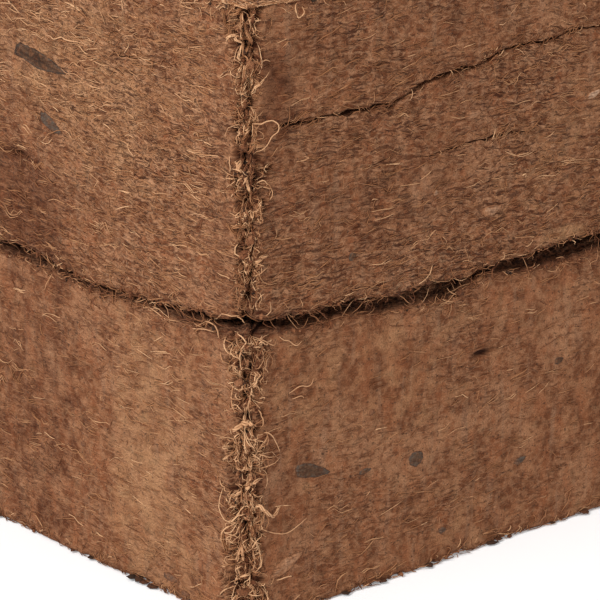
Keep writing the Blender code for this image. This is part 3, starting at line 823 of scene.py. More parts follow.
def quick_mesh(name, points, corners, sizes, maps):
    """A smooth-shaded mesh in metres from points in millimetres, and its faces' corners and their counts."""
    mesh = bpy.data.meshes.new(name)
    mesh.vertices.add(len(points))
    mesh.vertices.foreach_set("co", (np.asarray(points) * MM).astype(np.float32).ravel())
    mesh.loops.add(len(corners))
    mesh.loops.foreach_set("vertex_index", corners.astype(np.int32))
    starts = np.concatenate([[0], np.cumsum(sizes)[:-1]])
    mesh.polygons.add(len(sizes))
    mesh.polygons.foreach_set("loop_start", starts.astype(np.int32))
    mesh.update(calc_edges=True)
    for label, values in maps.items():
        layer = mesh.uv_layers.new(name=label)
        layer.uv.foreach_set("vector", values.astype(np.float32).ravel())
    mesh.shade_smooth()
    return mesh


def add_values(mesh, name, values):
    """One number per point, for the finish to read."""
    layer = mesh.attributes.new(name, "FLOAT", "POINT")
    layer.data.foreach_set("value", np.asarray(values, np.float32))


def unit(ways):
    """Ways with a length of one."""
    return ways / np.maximum(np.linalg.norm(ways, axis=-1, keepdims=True), 1e-9)


class Bundle:
    """Collects fibres, crumbs and chips, and makes one mesh of them."""

    def __init__(self, bale):
        self.bale = bale
        self.parts = []

    def add(self, points, faces, face_maps, tones):
        """points is items x points x 3, all items with the same faces. tones is per item, or items x points.

        Each face has its map inside the item's cell.
        """
        tones = np.asarray(tones, float)
        if tones.ndim == 1:
            tones = np.repeat(tones[:, None], np.shape(points)[1], axis=1)
        self.parts.append((np.asarray(points), faces, face_maps, tones))

    def fibres(self, paths, radius, tones, sides=3):
        """Round tapered fibres along paths, items x stations x 3, with a radius at every station."""
        count, stations, _ = paths.shape
        along = unit(np.gradient(paths, axis=1))
        side = unit(np.cross(along[:, 0], np.array([0.31, 0.52, 0.79])))
        rings = []
        angles = 2 * math.pi * np.arange(sides) / sides
        for n in range(stations):
            side = unit(side - along[:, n] * (side * along[:, n]).sum(-1, keepdims=True))
            other = np.cross(along[:, n], side)
            ring = [
                paths[:, n] + radius[:, n, None] * (side * math.cos(a) + other * math.sin(a))
                for a in angles]
            rings.append(np.stack(ring, axis=1))
        points = np.stack(rings, axis=1).reshape(count, stations * sides, 3)
        self.add(points, *tube_faces(stations, sides), tones)

    def lay(self, path, lift, thick, tones, thin=0.45, inset=0.0, lowest=-math.inf, highest=math.inf):
        """Fibres on the sides, along paths of distances and heights, with a radius and a tone each."""
        points = skin_place(path[..., 0], path[..., 1], self.bale, inset=inset, lift=lift)
        points[..., 2] = np.clip(points[..., 2], lowest, highest)
        self.fibres(points, thick[:, None] * taper(path.shape[1], thin)[None], tones)

    def mesh(self, name):
        """All that was added as one mesh, each item with its own cell of the unit square."""
        items = sum(len(part[0]) for part in self.parts)
        cells = math.ceil(math.sqrt(items))
        points, corners, sizes, layout, tones = [], [], [], [], []
        offset, item = 0, 0
        for part_points, faces, face_maps, part_tones in self.parts:
            count, each, _ = part_points.shape
            loop = np.concatenate([np.array(face) for face in faces])
            loop_map = np.concatenate([np.array(face_map) for face_map in face_maps])
            corners.append((loop[None] + (offset + np.arange(count) * each)[:, None]).ravel())
            sizes.append(np.tile([len(face) for face in faces], count))
            number = item + np.arange(count)
            cell = joined(number % cells, number // cells)
            layout.append(((cell[:, None] + 0.04 + 0.92 * loop_map[None]) / cells).reshape(-1, 2))
            points.append(part_points.reshape(-1, 3))
            tones.append(part_tones.ravel())
            offset += count * each
            item += count
        mesh = quick_mesh(
            name, np.concatenate(points), np.concatenate(corners), np.concatenate(sizes),
            {"OFBake": np.concatenate(layout)})
        add_values(mesh, "tone", np.concatenate(tones))
        return mesh


def tube_faces(stations, sides):
    """Faces of one closed tube, and their map in a unit cell: strips for the sides, a corner for each end."""
    faces, maps = [], []
    for n in range(stations - 1):
        for s in range(sides):
            t = (s + 1) % sides
            faces.append((n * sides + s, n * sides + t, (n + 1) * sides + t, (n + 1) * sides + s))
            left, right = 0.84 * n / (stations - 1), 0.84 * (n + 1) / (stations - 1)
            low, high = s / sides, (s + 1) / sides
            maps.append(((left, low), (left, high), (right, high), (right, low)))
    last = (stations - 1) * sides
    for ring, base in ((range(sides - 1, -1, -1), 0.04), (range(last, last + sides), 0.54)):
        faces.append(tuple(ring))
        turns = [2 * math.pi * k / sides for k in range(sides)]
        maps.append(tuple((0.93 + 0.06 * math.cos(a), base + 0.2 + 0.19 * math.sin(a)) for a in turns))
    return faces, maps


# Fibres

def any_way(rng, count):
    """Random headings all round."""
    return rng.uniform(-math.pi, math.pi, count)


def curly_lines(rng, count, stations, length, heading, curl, jitter):
    """Random curly lines on a surface: items x stations x 2, starting at nothing. length is per item."""
    bend = rng.normal(0, curl, (count, 1)) + rng.normal(0, jitter, (count, stations - 1))
    angle = heading[:, None] + np.cumsum(bend, axis=1)
    step = (length / (stations - 1))[:, None]
    moves = joined(step * np.cos(angle), step * np.sin(angle))
    return np.concatenate([np.zeros((count, 1, 2)), np.cumsum(moves, axis=1)], axis=1)


def level_lines(rng, count, stations, length, slope, wave):
    """Random wavy lines that run nearly level: items x stations x 2. length and slope are per item."""
    t = np.linspace(0, 1, stations)[None]
    turns = rng.uniform(0.5, 1.3, (count, 1)) * length[:, None] / 6.0
    phase = rng.uniform(0, 2 * math.pi, (count, 2))
    swing = np.sin(2 * math.pi * turns * t + phase[:, :1])
    swing = swing + 0.45 * np.sin(3.6 * math.pi * turns * t + phase[:, 1:])
    x = length[:, None] * t * np.where(rng.random((count, 1)) < 0.5, 1.0, -1.0)
    return joined(x, x * slope[:, None] + wave[:, None] * (swing - swing[:, :1]))


def taper(stations, thin=0.45):
    """Share of the full radius at each station."""
    t = np.linspace(-1, 1, stations)
    return thin + (1 - thin) * (1 - t ** 4)


def lie(rng, count, stations, high, free_share, free_lift, bury=0.12):
    """How far the stations of each fibre stand off the felt: both ends in it, or one end free."""
    t = np.linspace(0, 1, stations)[None]
    arch = np.sin(math.pi * t) * high[:, None] - bury
    rise = free_lift[:, None] * t ** 1.6 - bury * (1 - t)
    return np.where((rng.random(count) < free_share)[:, None], rise, arch)


def pick_tones(rng, count, mean, spread=0.2):
    """Random tones from dark to pale."""
    return np.clip(rng.normal(mean, spread, count), 0.0, 1.0)


def thin_out(rng, places, keep):
    """Only the places that a share, given per place, keeps."""
    return places[rng.random(len(places)) < keep]


def twist(path, lift, ply, plies, radius, turns):
    """One ply of a bundle twisted round a path on the skin: its places, stations x 2, and its stand-off."""
    along = unit(np.gradient(path, axis=-2))
    across = joined(-along[..., 1], along[..., 0])
    angle = 2 * math.pi * (ply / plies + turns * np.linspace(0, 1, path.shape[-2]))
    return path + across * (radius * np.cos(angle))[..., None], lift + radius * np.sin(angle)


# Stretches of the faces with short fibres: first and last distance, how dense
FACE_STRETCHES = (
    (-BACK, SEEN_LEFT, 0.15), (SEEN_LEFT, 0, 1.08), (0, SEEN_RIGHT, 0.85), (SEEN_RIGHT, BACK, 0.15),
)

# Share of them that run nearly level
LEVEL_SHARE = 0.84


def face_fibres(layer, bale):
    """The short fibres of a layer's four faces, lying in the felt in every direction, mostly level."""
    rng = np.random.default_rng(101 if layer == UPPER else 102)
    low, high = layer_span(layer, 0.8, 73.0, 75.5)
    bundle = Bundle(bale)
    for first, last, share in FACE_STRETCHES:
        seen = share > 0.5
        tries = int((last - first) * (high - low) * bale.density * share * 1.6)
        places = joined(rng.uniform(first, last, tries), rng.uniform(low, high, tries))
        cluster = 0.62 + 0.6 * noise(in_space(*places.T), 7.0, 111)
        bare = 1 - 0.9 * on_chip(*places.T)
        places = thin_out(rng, places, bare * cluster * fibrousness(*places.T) ** 1.6)
        count, stations = len(places), 5 if seen else 4
        length = rng.gamma(4.0, 0.95 if seen else 1.3, count) + 1.0
        level = rng.random((count, 1, 1)) < LEVEL_SHARE
        slope = rng.normal(0.03, 0.19, count)
        lines = np.where(
            level, level_lines(rng, count, stations, length, slope, rng.gamma(2.0, 0.12, count)),
            curly_lines(rng, count, stations, 0.7 * length, any_way(rng, count), 0.3, 0.4))
        path = places[:, None] + lines
        lip_low, lip_high = seam_lips(path[..., 0])
        span = (0.25, lip_low - 0.3) if layer == LOWER else (lip_high + 0.3, HEIGHT - 0.3)
        path[..., 1] = np.clip(path[..., 1], *span)
        thick = bale.thick(rng, 0.55, 1.1, count) * (1.0 if seen else 1.5)
        arch = rng.uniform(0.14, 0.34, count)
        lift = lie(rng, count, stations, arch, 0.09, rng.uniform(0.5, 1.4, count))
        tones = pick_tones(rng, count, 0.55 if first < 0 else 0.5, 0.14)
        tones = tones + 0.16 * np.clip(stains(*places.T), -1.5, 1.0)
        bundle.lay(path, lift, thick, np.clip(tones, 0.3, 1.0), lowest=0.12)
    wavy_clumps(bundle, layer)
    return bundle


# Stretches of the faces with wavy clumps: layer, first and last distance, lowest and highest, how many, tone
WAVY_CLUMPS = (
    (UPPER, -102, -8, 77, 149, 210, 0.66), (UPPER, -102, -50, 118, 149, 70, 0.76),
    (UPPER, 8, 128, 77, 128, 150, 0.62), (UPPER, 8, 128, 124, 149, 40, 0.55),
    (LOWER, -102, -8, 2, 72, 80, 0.7), (LOWER, 8, 128, 2, 72, 60, 0.6),
    (UPPER, 128, 600, 77, 149, 70, 0.62), (UPPER, -600, -102, 77, 149, 70, 0.62),
)


def wavy_clumps(bundle, layer):
    """Nearly level wavy fibres, single or two or three together, pressed into the faces."""
    rng = np.random.default_rng(110 if layer == UPPER else 111)
    stations = 8
    for owner, first, last, low, high, number, tone in WAVY_CLUMPS:
        if owner != layer:
            continue
        start = joined(rng.uniform(first, last, number), rng.uniform(low, high, number))
        start = thin_out(rng, start, 1 - on_chip(*start.T))
        number = len(start)
        length = rng.uniform(3.5, 9.0, number)
        slope = rng.normal(0.02, 0.15, number)
        lines = level_lines(rng, number, stations, length, slope, rng.gamma(3.0, 0.11, number))
        tones = pick_tones(rng, number, tone, 0.13)
        together = rng.integers(1, 4, number)
        for strand in range(3):
            use = together > strand
            aside = joined(rng.normal(0, 0.5, number), rng.normal(0, 0.22, number))
            spread = curly_lines(rng, number, stations, 0.1 * length, rng.uniform(-3, 3, number), 0.1, 0.3)
            path = (start[:, None] + lines + spread + strand * aside[:, None])[use]
            path[..., 1] = np.clip(path[..., 1], low - 0.8, high + 0.5)
            count = len(path)
            lift = lie(rng, count, stations, rng.uniform(0.16, 0.4, count), 0.1, rng.uniform(0.3, 0.9, count))
            bundle.lay(path, lift, bundle.bale.thick(rng, 0.55, 1.15, count), tones[use], thin=0.3)


def top_fibres(bale):
    """The fibres of the top face, and the golden mat at the surveyed corner."""
    rng = np.random.default_rng(103)
    bundle = Bundle(bale)
    reach = HALF - 3.0
    tries = int((2 * reach) ** 2 * bale.density * 0.17)
    places = rng.uniform(-reach, reach, (tries, 2))
    places = thin_out(rng, places, 0.6 + 0.6 * noise(joined(*places.T, np.zeros(tries)), 11.0, 112))
    near = rng.uniform(0, 1, (420, 2)) ** 1.4 * 26.0
    near = joined(HALF - 1.5 - near[:, 0], 1.5 - HALF + near[:, 1])
    for spots, stations, mean, high in ((places, 4, 0.52, 0.4), (near, 7, 0.7, 0.75)):
        count = len(spots)
        length = rng.gamma(4.5, 1.5, count) + 2.0
        lines = curly_lines(rng, count, stations, length, any_way(rng, count), 0.3, 0.4)
        path = np.clip(spots[:, None] + lines, -HALF + 1.0, HALF - 1.0)
        lift = lie(rng, count, stations, rng.uniform(0.1, high, count), 0.1, rng.uniform(0.4, 1.3, count))
        thick = bale.thick(rng, 0.8, 1.6, count)[:, None] * taper(stations)[None]
        bundle.fibres(top_place(path[..., 0], path[..., 1], lift), thick, pick_tones(rng, count, mean))
    return bundle


# Painted shade: how much darker the corner's fibres are for each millimetre of gouge that they lie in
GOUGE_SHADE = 0.15

# How far the corner's longest fibres may stand off
MOST_LIFT = 2.4


def corner_fibres(bundle, rng, layer):
    """The curly tangle of a layer's four corners: short fibres, and fewer long ones that stand off."""
    low, high = layer_span(layer, 0.5, 71.0, 79.0)
    ends = (0.3, high + 1.2) if layer == LOWER else (low - 1.4, HEIGHT - 0.2)
    surveyed = (1000, 290) if layer == LOWER else (900, 130)
    # Each kind's growth in length, least length, stations, height of the arch, tone and curl
    kinds = ((1.3, 1.2, 6, 0.3, 0.7 if layer == LOWER else 0.66, 0.4), (1.7, 4.0, 9, 0.45, 0.86, 0.26))
    for corner in CORNERS:
        numbers = surveyed if corner == 0 else (110, 35)
        for number, (growth, least, stations, high_arch, mean, curl) in zip(numbers, kinds):
            tries = 2 * int(number * bundle.bale.tangle)
            level = rng.uniform(low, high, tries)
            spots = joined(np.full(tries, corner), level, np.zeros(tries))
            level = thin_out(rng, level, 0.5 + 0.8 * noise(spots, 8.0, 113) - 0.15 * dents(corner, level))
            count = len(level)
            left = rng.random(count) < 0.5
            reach = np.where(left, -1.0, 1.0) * raw_reach(np.full(count, corner), level, left)
            start = joined(corner + reach * rng.uniform(0.0, 1.05, count), level)
            length = rng.gamma(2.2, growth, count) + least
            lines = curly_lines(rng, count, stations, length, any_way(rng, count), curl, curl + 0.1)
            path = start[:, None] + lines - lines.mean(axis=1, keepdims=True)
            path[..., 1] = np.clip(path[..., 1], *ends)
            arch = rng.gamma(2.0, high_arch, count)
            lift = lie(rng, count, stations, arch, 0.14, rng.uniform(0.7, 2.0, count), 0.3)
            thick = bundle.bale.thick(rng, 0.5, 1.35, count)
            tones = np.clip(pick_tones(rng, count, mean, 0.22) - GOUGE_SHADE * dents(*start.T), 0.0, 1.0)
            bundle.lay(path, np.minimum(lift, MOST_LIFT), thick, tones, lowest=0.15, highest=HEIGHT + 0.6)


def corner_bundles(bundle, rng, layer):
    """Torn, twisted bundles of fibre in a layer's upright corners."""
    low, high = layer_span(layer, 3.0, 70.0, 79.0)
    stations, plies = 9, 4
    for corner in CORNERS:
        count = int((30 if corner == 0 else 10) * bundle.bale.tangle)
        length = rng.uniform(4.0, 9.0, count)
        heading = rng.normal(math.pi / 2, 0.75, count)
        start = joined(corner + rng.normal(0, 2.6, count), rng.uniform(low, high, count))
        lines = curly_lines(rng, count, stations, length, heading, 0.16, 0.3)
        path = start[:, None] + lines - lines.mean(axis=1, keepdims=True)
        path[..., 1] = np.clip(path[..., 1], low - 2.0, high + 2.0)
        lift = lie(
            rng, count, stations, rng.uniform(0.4, 1.3, count), 0.25, rng.uniform(0.8, 2.0, count), 0.35)
        turns = rng.uniform(0.3, 0.9, count)[:, None]
        spread = rng.uniform(0.16, 0.34, count)
        tones = rng.normal(0.64, 0.15, count) - GOUGE_SHADE * dents(*start.T)
        for ply in range(plies):
            laid, laid_lift = twist(path, lift, ply, plies, spread[:, None], turns)
            thick = spread * rng.uniform(0.55, 0.8)
            shades = np.clip(tones + rng.normal(0, 0.06), 0, 1)
            bundle.lay(laid, laid_lift, thick, shades, thin=0.3, lowest=0.3, highest=HEIGHT + 0.4)


def seam_fibres(bundle, rng, layer):
    """Torn fibres along a layer's lip of the seam: along it, over it, and hanging out of the gap."""
    upper = layer == UPPER
    sign = 1.0 if upper else -1.0
    stations = 6
    t = np.linspace(0, 1, stations)[None]
    for first, last, per_mm in stretches(0.5, 1.7):
        count = int((last - first) * per_mm * bundle.bale.tangle)
        start = rng.uniform(first, last, count)
        start = thin_out(rng, start, 1 - 0.9 * within(start, -9.0, 13.0, 4.0))
        count = len(start)
        lip = lip_shape(start, upper, bundle.bale)[0]
        along = rng.random(count) < 0.95
        heading = np.where(along, rng.normal(0, 0.24, count), rng.normal(sign * math.pi / 2, 0.8, count))
        heading = heading + np.where(along & (rng.random(count) < 0.5), math.pi, 0.0)
        length = rng.gamma(3.0, 1.1, count) + 1.0
        lines = curly_lines(rng, count, stations, length, heading, 0.1, 0.26)
        path = joined(start, lip + sign * rng.uniform(-0.1, 1.6, count))[:, None] + lines
        sunk = rng.uniform(0.3, 1.8, count)[:, None] * (1 - t) ** 2
        rise = rng.gamma(2.0, 0.28, count)[:, None] * np.sin(math.pi * np.minimum(t * 1.2, 1)) - sunk
        low, high = seam_lips(path[..., 0])
        in_gap = (path[..., 1] > low) & (path[..., 1] < high)
        path[..., 1] = np.clip(path[..., 1], 0.3, HEIGHT - 0.3)
        thick = bundle.bale.thick(rng, 0.5, 1.1, count)
        bundle.lay(path, rise - 0.25 * in_gap, thick, pick_tones(rng, count, 0.52))


def crack_fibres(bundle, rng, line, openings, per_mm):
    """Short fibres along the lips of the open cracks."""
    stations = 5
    for first, last, mouth, _ in openings:
        count = int((last - first) * per_mm * bundle.bale.tangle)
        start = rng.uniform(first, last, count)
        side = np.where(rng.random(count) < 0.5, -1.0, 1.0)
        height = line_height(start, line) + side * (mouth / 2 + rng.uniform(0.0, 0.7, count))
        length = rng.gamma(3.0, 0.8, count) + 0.8
        lines = curly_lines(rng, count, stations, length, rng.normal(0, 0.3, count), 0.16, 0.35)
        lift = lie(rng, count, stations, rng.uniform(0.1, 0.5, count), 0.15, rng.uniform(0.3, 1.1, count))
        thick = bundle.bale.thick(rng, 0.5, 0.95, count)
        bundle.lay(joined(start, height)[:, None] + lines, lift, thick, pick_tones(rng, count, 0.5))


def rim_fibres(bundle, rng, layer):
    """Short fibres and stubs along the bottom edge of the lower layer, or the top edge of the upper one."""
    upper = layer == UPPER
    stations = 5
    for first, last, per_mm in stretches(0.4, 1.1):
        count = int((last - first) * per_mm * bundle.bale.tangle)
        start = rng.uniform(first, last, count)
        inset = rng.uniform(0.0, 1.2, count)
        base = rng.uniform(0.2, 2.2, count)
        height = HEIGHT - base + 0.4 if upper else base
        heading = np.where(rng.random(count) < 0.7, rng.normal(0, 0.4, count), rng.uniform(-3, 3, count))
        length = rng.gamma(3.0, 1.0, count) + 0.8
        path = joined(start, height)[:, None] + curly_lines(rng, count, stations, length, heading, 0.3, 0.45)
        lift = lie(rng, count, stations, rng.uniform(0.1, 0.5, count), 0.2, rng.uniform(0.4, 1.5, count))
        path[..., 1] = np.clip(path[..., 1], 0.2, HEIGHT + 0.2 if upper else SEAM_HEIGHT)
        over_edge = inset[:, None] * (path[..., 1] > HEIGHT - 0.8)
        thick = bundle.bale.thick(rng, 0.6, 1.3, count)
        bundle.lay(path, lift, thick, pick_tones(rng, count, 0.6 if upper else 0.5), inset=over_edge)


# The lines whose cracks have fibres along their lips: layer, line, where it is open, fibres to the millimetre
FIBROUS_CRACKS = (
    (UPPER, UPPER_CRACK, UPPER_CRACK_OPEN, 1.3), (UPPER, UPPER_BED, UPPER_BED_OPEN, 0.9),
    (LOWER, LOWER_BED, LOWER_BED_OPEN, 0.7),
)


def edge_fibres(layer, bale):
    """Everything that sticks out of a layer's corners, lip, cracks and rim."""
    rng = np.random.default_rng(104 if layer == UPPER else 105)
    bundle = Bundle(bale)
    for add in (corner_fibres, corner_bundles, seam_fibres, rim_fibres):
        add(bundle, rng, layer)
    for owner, line, openings, per_mm in FIBROUS_CRACKS:
        if owner == layer:
            crack_fibres(bundle, rng, line, openings, per_mm)
    return bundle


def smooth_line(places, stations):
    """A smooth curve of evenly counted stations through given points."""
    places = np.array(places, float)
    padded = np.concatenate([[2 * places[0] - places[1]], places, [2 * places[-1] - places[-2]]])
    t = np.linspace(0, len(places) - 1, stations)
    n = np.minimum(t.astype(int), len(places) - 2)
    u = (t - n)[:, None]
    a, b, c, e = padded[n], padded[n + 1], padded[n + 2], padded[n + 3]
    square = (2 * a - 5 * b + 4 * c - e) * u ** 2
    return 0.5 * (2 * b + (c - a) * u + square + (3 * b - a - 3 * c + e) * u ** 3)


STRAND_GAUGE = 0.4
TWISTED_FROM = 0.45


def strands(layer, bale):
    """The long loose strands that were traced one by one."""
    rng = np.random.default_rng(106)
    bundle = Bundle(bale)
    for thickness, tone, stand_off, free, places in STRANDS:
        wobble = rng.normal(0, 1, 4)
        if (places[0][1] > SEAM_HEIGHT) != (layer == UPPER):
            continue
        stations = 4 * len(places)
        path = smooth_line(places, stations)
        t = np.linspace(0, 1, stations)
        shape = np.sin(math.pi * t * 0.72) if free else np.sin(math.pi * t) ** 0.7
        ripple = 0.1 * np.sin(9 * t + wobble[0]) + 0.06 * np.sin(17 * t + wobble[1])
        lift = -0.25 + (stand_off + 0.25) * shape + ripple * np.sin(math.pi * t)
        gauge = thickness * STRAND_GAUGE
        radius = gauge * (1 + 0.14 * np.sin(6 * t + wobble[2])) * taper(stations, 0.35)
        plies = 3 if thickness > TWISTED_FROM else 1
        share = 0.8 if plies > 1 else 1.0
        for ply in range(plies):
            laid, laid_lift = twist(path, lift, ply, plies, 0.5 * gauge * (plies - 1), 1.6)
            points = skin_place(*laid.T, bale, lift=laid_lift)
            bundle.fibres(points[None], share * radius[None], [tone], sides=6)
    return bundle


# Crumbs and husk chips

# Bits of bark that stick out at the foot: distance, height, size
FOOT_BITS = (
    (-42.5, 0.7, 1), (-40, 0.8, 1.2), (-37.5, 0.6, 0.8), (-34.5, 0.5, 0.9), (-98, 0.6, 0.9),
    (-59, 0.5, 0.7), (-66, 0.6, 0.6), (33, 0.6, 0.8), (45.5, 0.5, 1), (61, 0.7, 0.9), (84, 0.5, 1.1),
    (87, 0.6, 0.8), (106, 0.5, 0.7), (118, 0.6, 0.9),
)

# How they are stretched along each axis
FOOT_BIT_FORM = (1.5, 1.5, 0.42)


def crumbs(layer, bale):
    """Crumbs of pith in the worn corners, on the seam's lips and along the rim, and bits at the foot."""
    rng = np.random.default_rng(107 if layer == UPPER else 108)
    low, high = layer_span(layer, 0.6, 70.5, 78.5)
    upper = layer == UPPER
    groups = []
    for corner in CORNERS:
        count = 330 if corner == 0 else 70
        level = rng.uniform(low, high, count)
        groups.append(joined(corner + rng.normal(0, 2.2, count), level))
    for first, last, count in stretches(60, 90):
        start = rng.uniform(first, last, count)
        lip = lip_shape(start, upper, bale)[0]
        groups.append(joined(start, lip + (1 if upper else -1) * rng.uniform(0.1, 1.2, count)))
        start = rng.uniform(first, last, count // 2)
        rim = rng.uniform(0.4, 1.3, count // 2)
        groups.append(joined(start, HEIGHT - rim if upper else rim))
    places = np.concatenate(groups)
    size = rng.gamma(3.0, 0.09, len(places)) + 0.1
    tones = pick_tones(rng, len(places), 0.36)
    if not upper:
        bits = np.array(FOOT_BITS)
        places = np.concatenate([places, bits[:, :2]])
        size = np.concatenate([size, bits[:, 2]])
        tones = np.concatenate([tones, rng.uniform(0.0, 0.2, len(bits))])
    count = len(places)
    centre = skin_place(*places.T, bale, lift=0.1 * size)
    lumpy = CRUMB_POINTS[None] * (1 + rng.uniform(-0.45, 0.45, (count, len(CRUMB_POINTS), 1)))
    stretch = rng.uniform(0.45, 1.6, (count, 1, 3))
    if not upper:
        stretch[-len(FOOT_BITS):] = FOOT_BIT_FORM
    points = centre[:, None] + lumpy * stretch * size[:, None, None]
    points[..., 2] = np.clip(points[..., 2], 0.05, HEIGHT + 0.4)
    maps = []
    for n in range(len(CRUMB_FACES)):
        left, base = 0.2 * (n % 5), 0.25 * (n // 5)
        maps.append(((left + 0.02, base + 0.02), (left + 0.18, base + 0.02), (left + 0.1, base + 0.22)))
    bundle = Bundle(bale)
    bundle.add(points, CRUMB_FACES, maps, tones)
    return bundle


CHIP_RIM = 24
FELT_TONE = 0.65


def chip_faces():
    """Faces of a lens-shaped flake: a crown, a collar and a back, with their maps in a unit cell."""
    faces, maps = [], []
    around = 2 * math.pi / CHIP_RIM

    def spots(k, centre, *radii):
        return [(centre[0] + r * math.cos(k * around), centre[1] + r * math.sin(k * around)) for r in radii]

    front, back = (0.25, 0.5), (0.75, 0.5)
    for k in range(CHIP_RIM):
        m = (k + 1) % CHIP_RIM
        inner, outer, behind = spots(k, front, 0.14, 0.23) + spots(k, back, 0.23)
        next_inner, next_outer, next_behind = spots(k + 1, front, 0.14, 0.23) + spots(k + 1, back, 0.23)
        faces.append((0, 1 + k, 1 + m))
        maps.append((front, inner, next_inner))
        faces.append((1 + k, 1 + CHIP_RIM + k, 1 + CHIP_RIM + m, 1 + m))
        maps.append((inner, outer, next_outer, next_inner))
        faces.append((1 + 2 * CHIP_RIM, 1 + CHIP_RIM + m, 1 + CHIP_RIM + k))
        maps.append((back, next_behind, behind))
    return faces, maps


def chip_outline(rng, length, height, tilt):
    """Uneven outline of one chip round its centre, narrower towards its far end."""
    angle = np.linspace(0, 2 * math.pi, CHIP_RIM, endpoint=False)
    ragged = 1 + rng.uniform(-0.11, 0.09, CHIP_RIM) + 0.09 * np.sin(2 * angle + rng.uniform(0, 6))
    x = length * np.cos(angle) * ragged
    y = height * np.sin(angle) * ragged * (1 - 0.3 * np.cos(angle))
    c, s = math.cos(math.radians(tilt)), math.sin(math.radians(tilt))
    return joined(x * c - y * s, x * s + y * c)


def chip_points(outline):
    """Offsets along the face and stand-off of a flake's centre, collar, rim and back."""
    offsets = np.concatenate([[[0, 0]], 0.72 * outline, outline, [[0, 0]]])
    lift = np.concatenate([[0.3], np.full(CHIP_RIM, 0.26), np.full(CHIP_RIM, -0.03), [-0.6]])
    return offsets, lift


def chip_tones(rng, tone):
    """Tones of a flake's centre, collar, rim and back, which fade into the felt towards the rim."""
    collar = tone + (FELT_TONE - tone) * rng.uniform(0.0, 0.45, CHIP_RIM)
    rim = tone + (FELT_TONE - tone) * rng.uniform(0.8, 1.0, CHIP_RIM)
    return np.concatenate([[tone], collar, rim, [FELT_TONE]])


def hidden_chips(rng):
    """Chips on the hidden sides, in the same terms as the surveyed ones."""
    for _ in range(HIDDEN_CHIPS):
        d = rng.uniform(SEEN_RIGHT + 6, PERIMETER + SEEN_LEFT - 6)
        size = rng.gamma(3.0, 0.6) + 0.5
        z = rng.choice([rng.uniform(4, 68), rng.uniform(80, 145)])
        tone = rng.choice([0.08, 0.2, 0.4, 0.6, 0.85, 0.95])
        yield d - PERIMETER * (d > BACK), z, size, size * rng.uniform(0.3, 0.6), rng.normal(0, 16), tone


def chips(layer, bale):
    """Husk chips and bits of bark pressed into the felt, as flat flakes that lie flush with it."""
    rng = np.random.default_rng(109)
    points, tones = [], []
    for d, z, length, height, tilt, tone in [*CHIPS, *hidden_chips(rng)]:
        outline = chip_outline(rng, length, height, tilt)
        shades = chip_tones(rng, tone)
        if (z > SEAM_HEIGHT) == (layer == UPPER):
            offsets, lift = chip_points(outline)
            points.append(skin_place(d + offsets[:, 0], z + offsets[:, 1], bale, lift=lift))
            tones.append(shades)
    for _ in range(TOP_CHIPS if layer == UPPER else 0):
        size = rng.gamma(3.0, 0.7) + 0.6
        x, y = rng.uniform(-HALF + 12, HALF - 12, 2)
        outline = chip_outline(rng, size, size * rng.uniform(0.35, 0.7), rng.uniform(0, 180))
        offsets, lift = chip_points(outline)
        points.append(top_place(x + offsets[:, 0], y + offsets[:, 1], lift))
        tones.append(chip_tones(rng, rng.choice([0.08, 0.2, 0.4, 0.7, 0.9])))
    bundle = Bundle(bale)
    bundle.add(np.array(points), *chip_faces(), tones)
    return bundle


# Materials

class Nodes:
    """Adds nodes to one tree. A value may be a number, a colour or another node's output."""

    def __init__(self, tree):
        self.tree = tree

    def add(self, kind, feeds=None, **settings):
        node = self.tree.nodes.new(kind)
        for name, value in settings.items():
            setattr(node, name, value)
        for key, value in (feeds or {}).items():
            self.feed(node.inputs[key], value)
        return node

    def feed(self, socket, value):
        if isinstance(value, bpy.types.NodeSocket):
            self.tree.links.new(value, socket)
        else:
            socket.default_value = (*value, 1.0) if socket.type == "RGBA" else value

    def math(self, operation, a, b=0.0, clamp=False):
        return self.add("ShaderNodeMath", {0: a, 1: b}, operation=operation, use_clamp=clamp).outputs[0]

    def times(self, a, b, clamp=False):
        return self.math("MULTIPLY", a, b, clamp)

    def plus(self, a, b, clamp=False):
        return self.math("ADD", a, b, clamp)

    def minus(self, a, b):
        return self.math("SUBTRACT", a, b)

    def vector(self, operation, a, b=(0.0, 0.0, 0.0)):
        return self.add("ShaderNodeVectorMath", {0: a, 1: b}, operation=operation).outputs[0]

    def moved(self, place, x, y):
        return self.vector("ADD", place, (x, y, 0.0))

    def scaled(self, place, x, y, z=0.0):
        return self.vector("MULTIPLY", place, (x, y, z))

    def mix(self, share, a, b, blend="MIX"):
        feeds = {"Factor": share, 6: a, 7: b}
        return self.add("ShaderNodeMix", feeds, data_type="RGBA", blend_type=blend).outputs[2]

    def layers(self, base, *rows):
        """Colours laid over a base one by one, each with its mask and how strong it is."""
        for mask, strength, colour in rows:
            base = self.mix(mask if strength == 1 else self.times(mask, strength), base, colour)
        return base

    def step(self, value, low, high, to_low=0.0, to_high=1.0):
        """Smooth step of a value between two limits."""
        feeds = {"Value": value, "From Min": low, "From Max": high, "To Min": to_low, "To Max": to_high}
        return self.add("ShaderNodeMapRange", feeds, interpolation_type="SMOOTHSTEP").outputs["Result"]

    def noise(self, place, scale, detail=0.0, flat=True, roughness=0.5, output="Fac"):
        feeds = {"Vector": place, "Scale": scale, "Detail": detail, "Roughness": roughness}
        return self.add("ShaderNodeTexNoise", feeds, noise_dimensions="2D" if flat else "3D").outputs[output]

    def attribute(self, name):
        return self.add("ShaderNodeAttribute", attribute_name=name).outputs["Fac"]

    def ramp(self, value, stops):
        node = self.add("ShaderNodeValToRGB", {"Fac": value})
        ramp = node.color_ramp
        while len(ramp.elements) < len(stops):
            ramp.elements.new(0.5)
        for element, (place, colour) in zip(ramp.elements, stops):
            element.position = place
            element.color = (*colour, 1.0)
        return node.outputs["Color"]


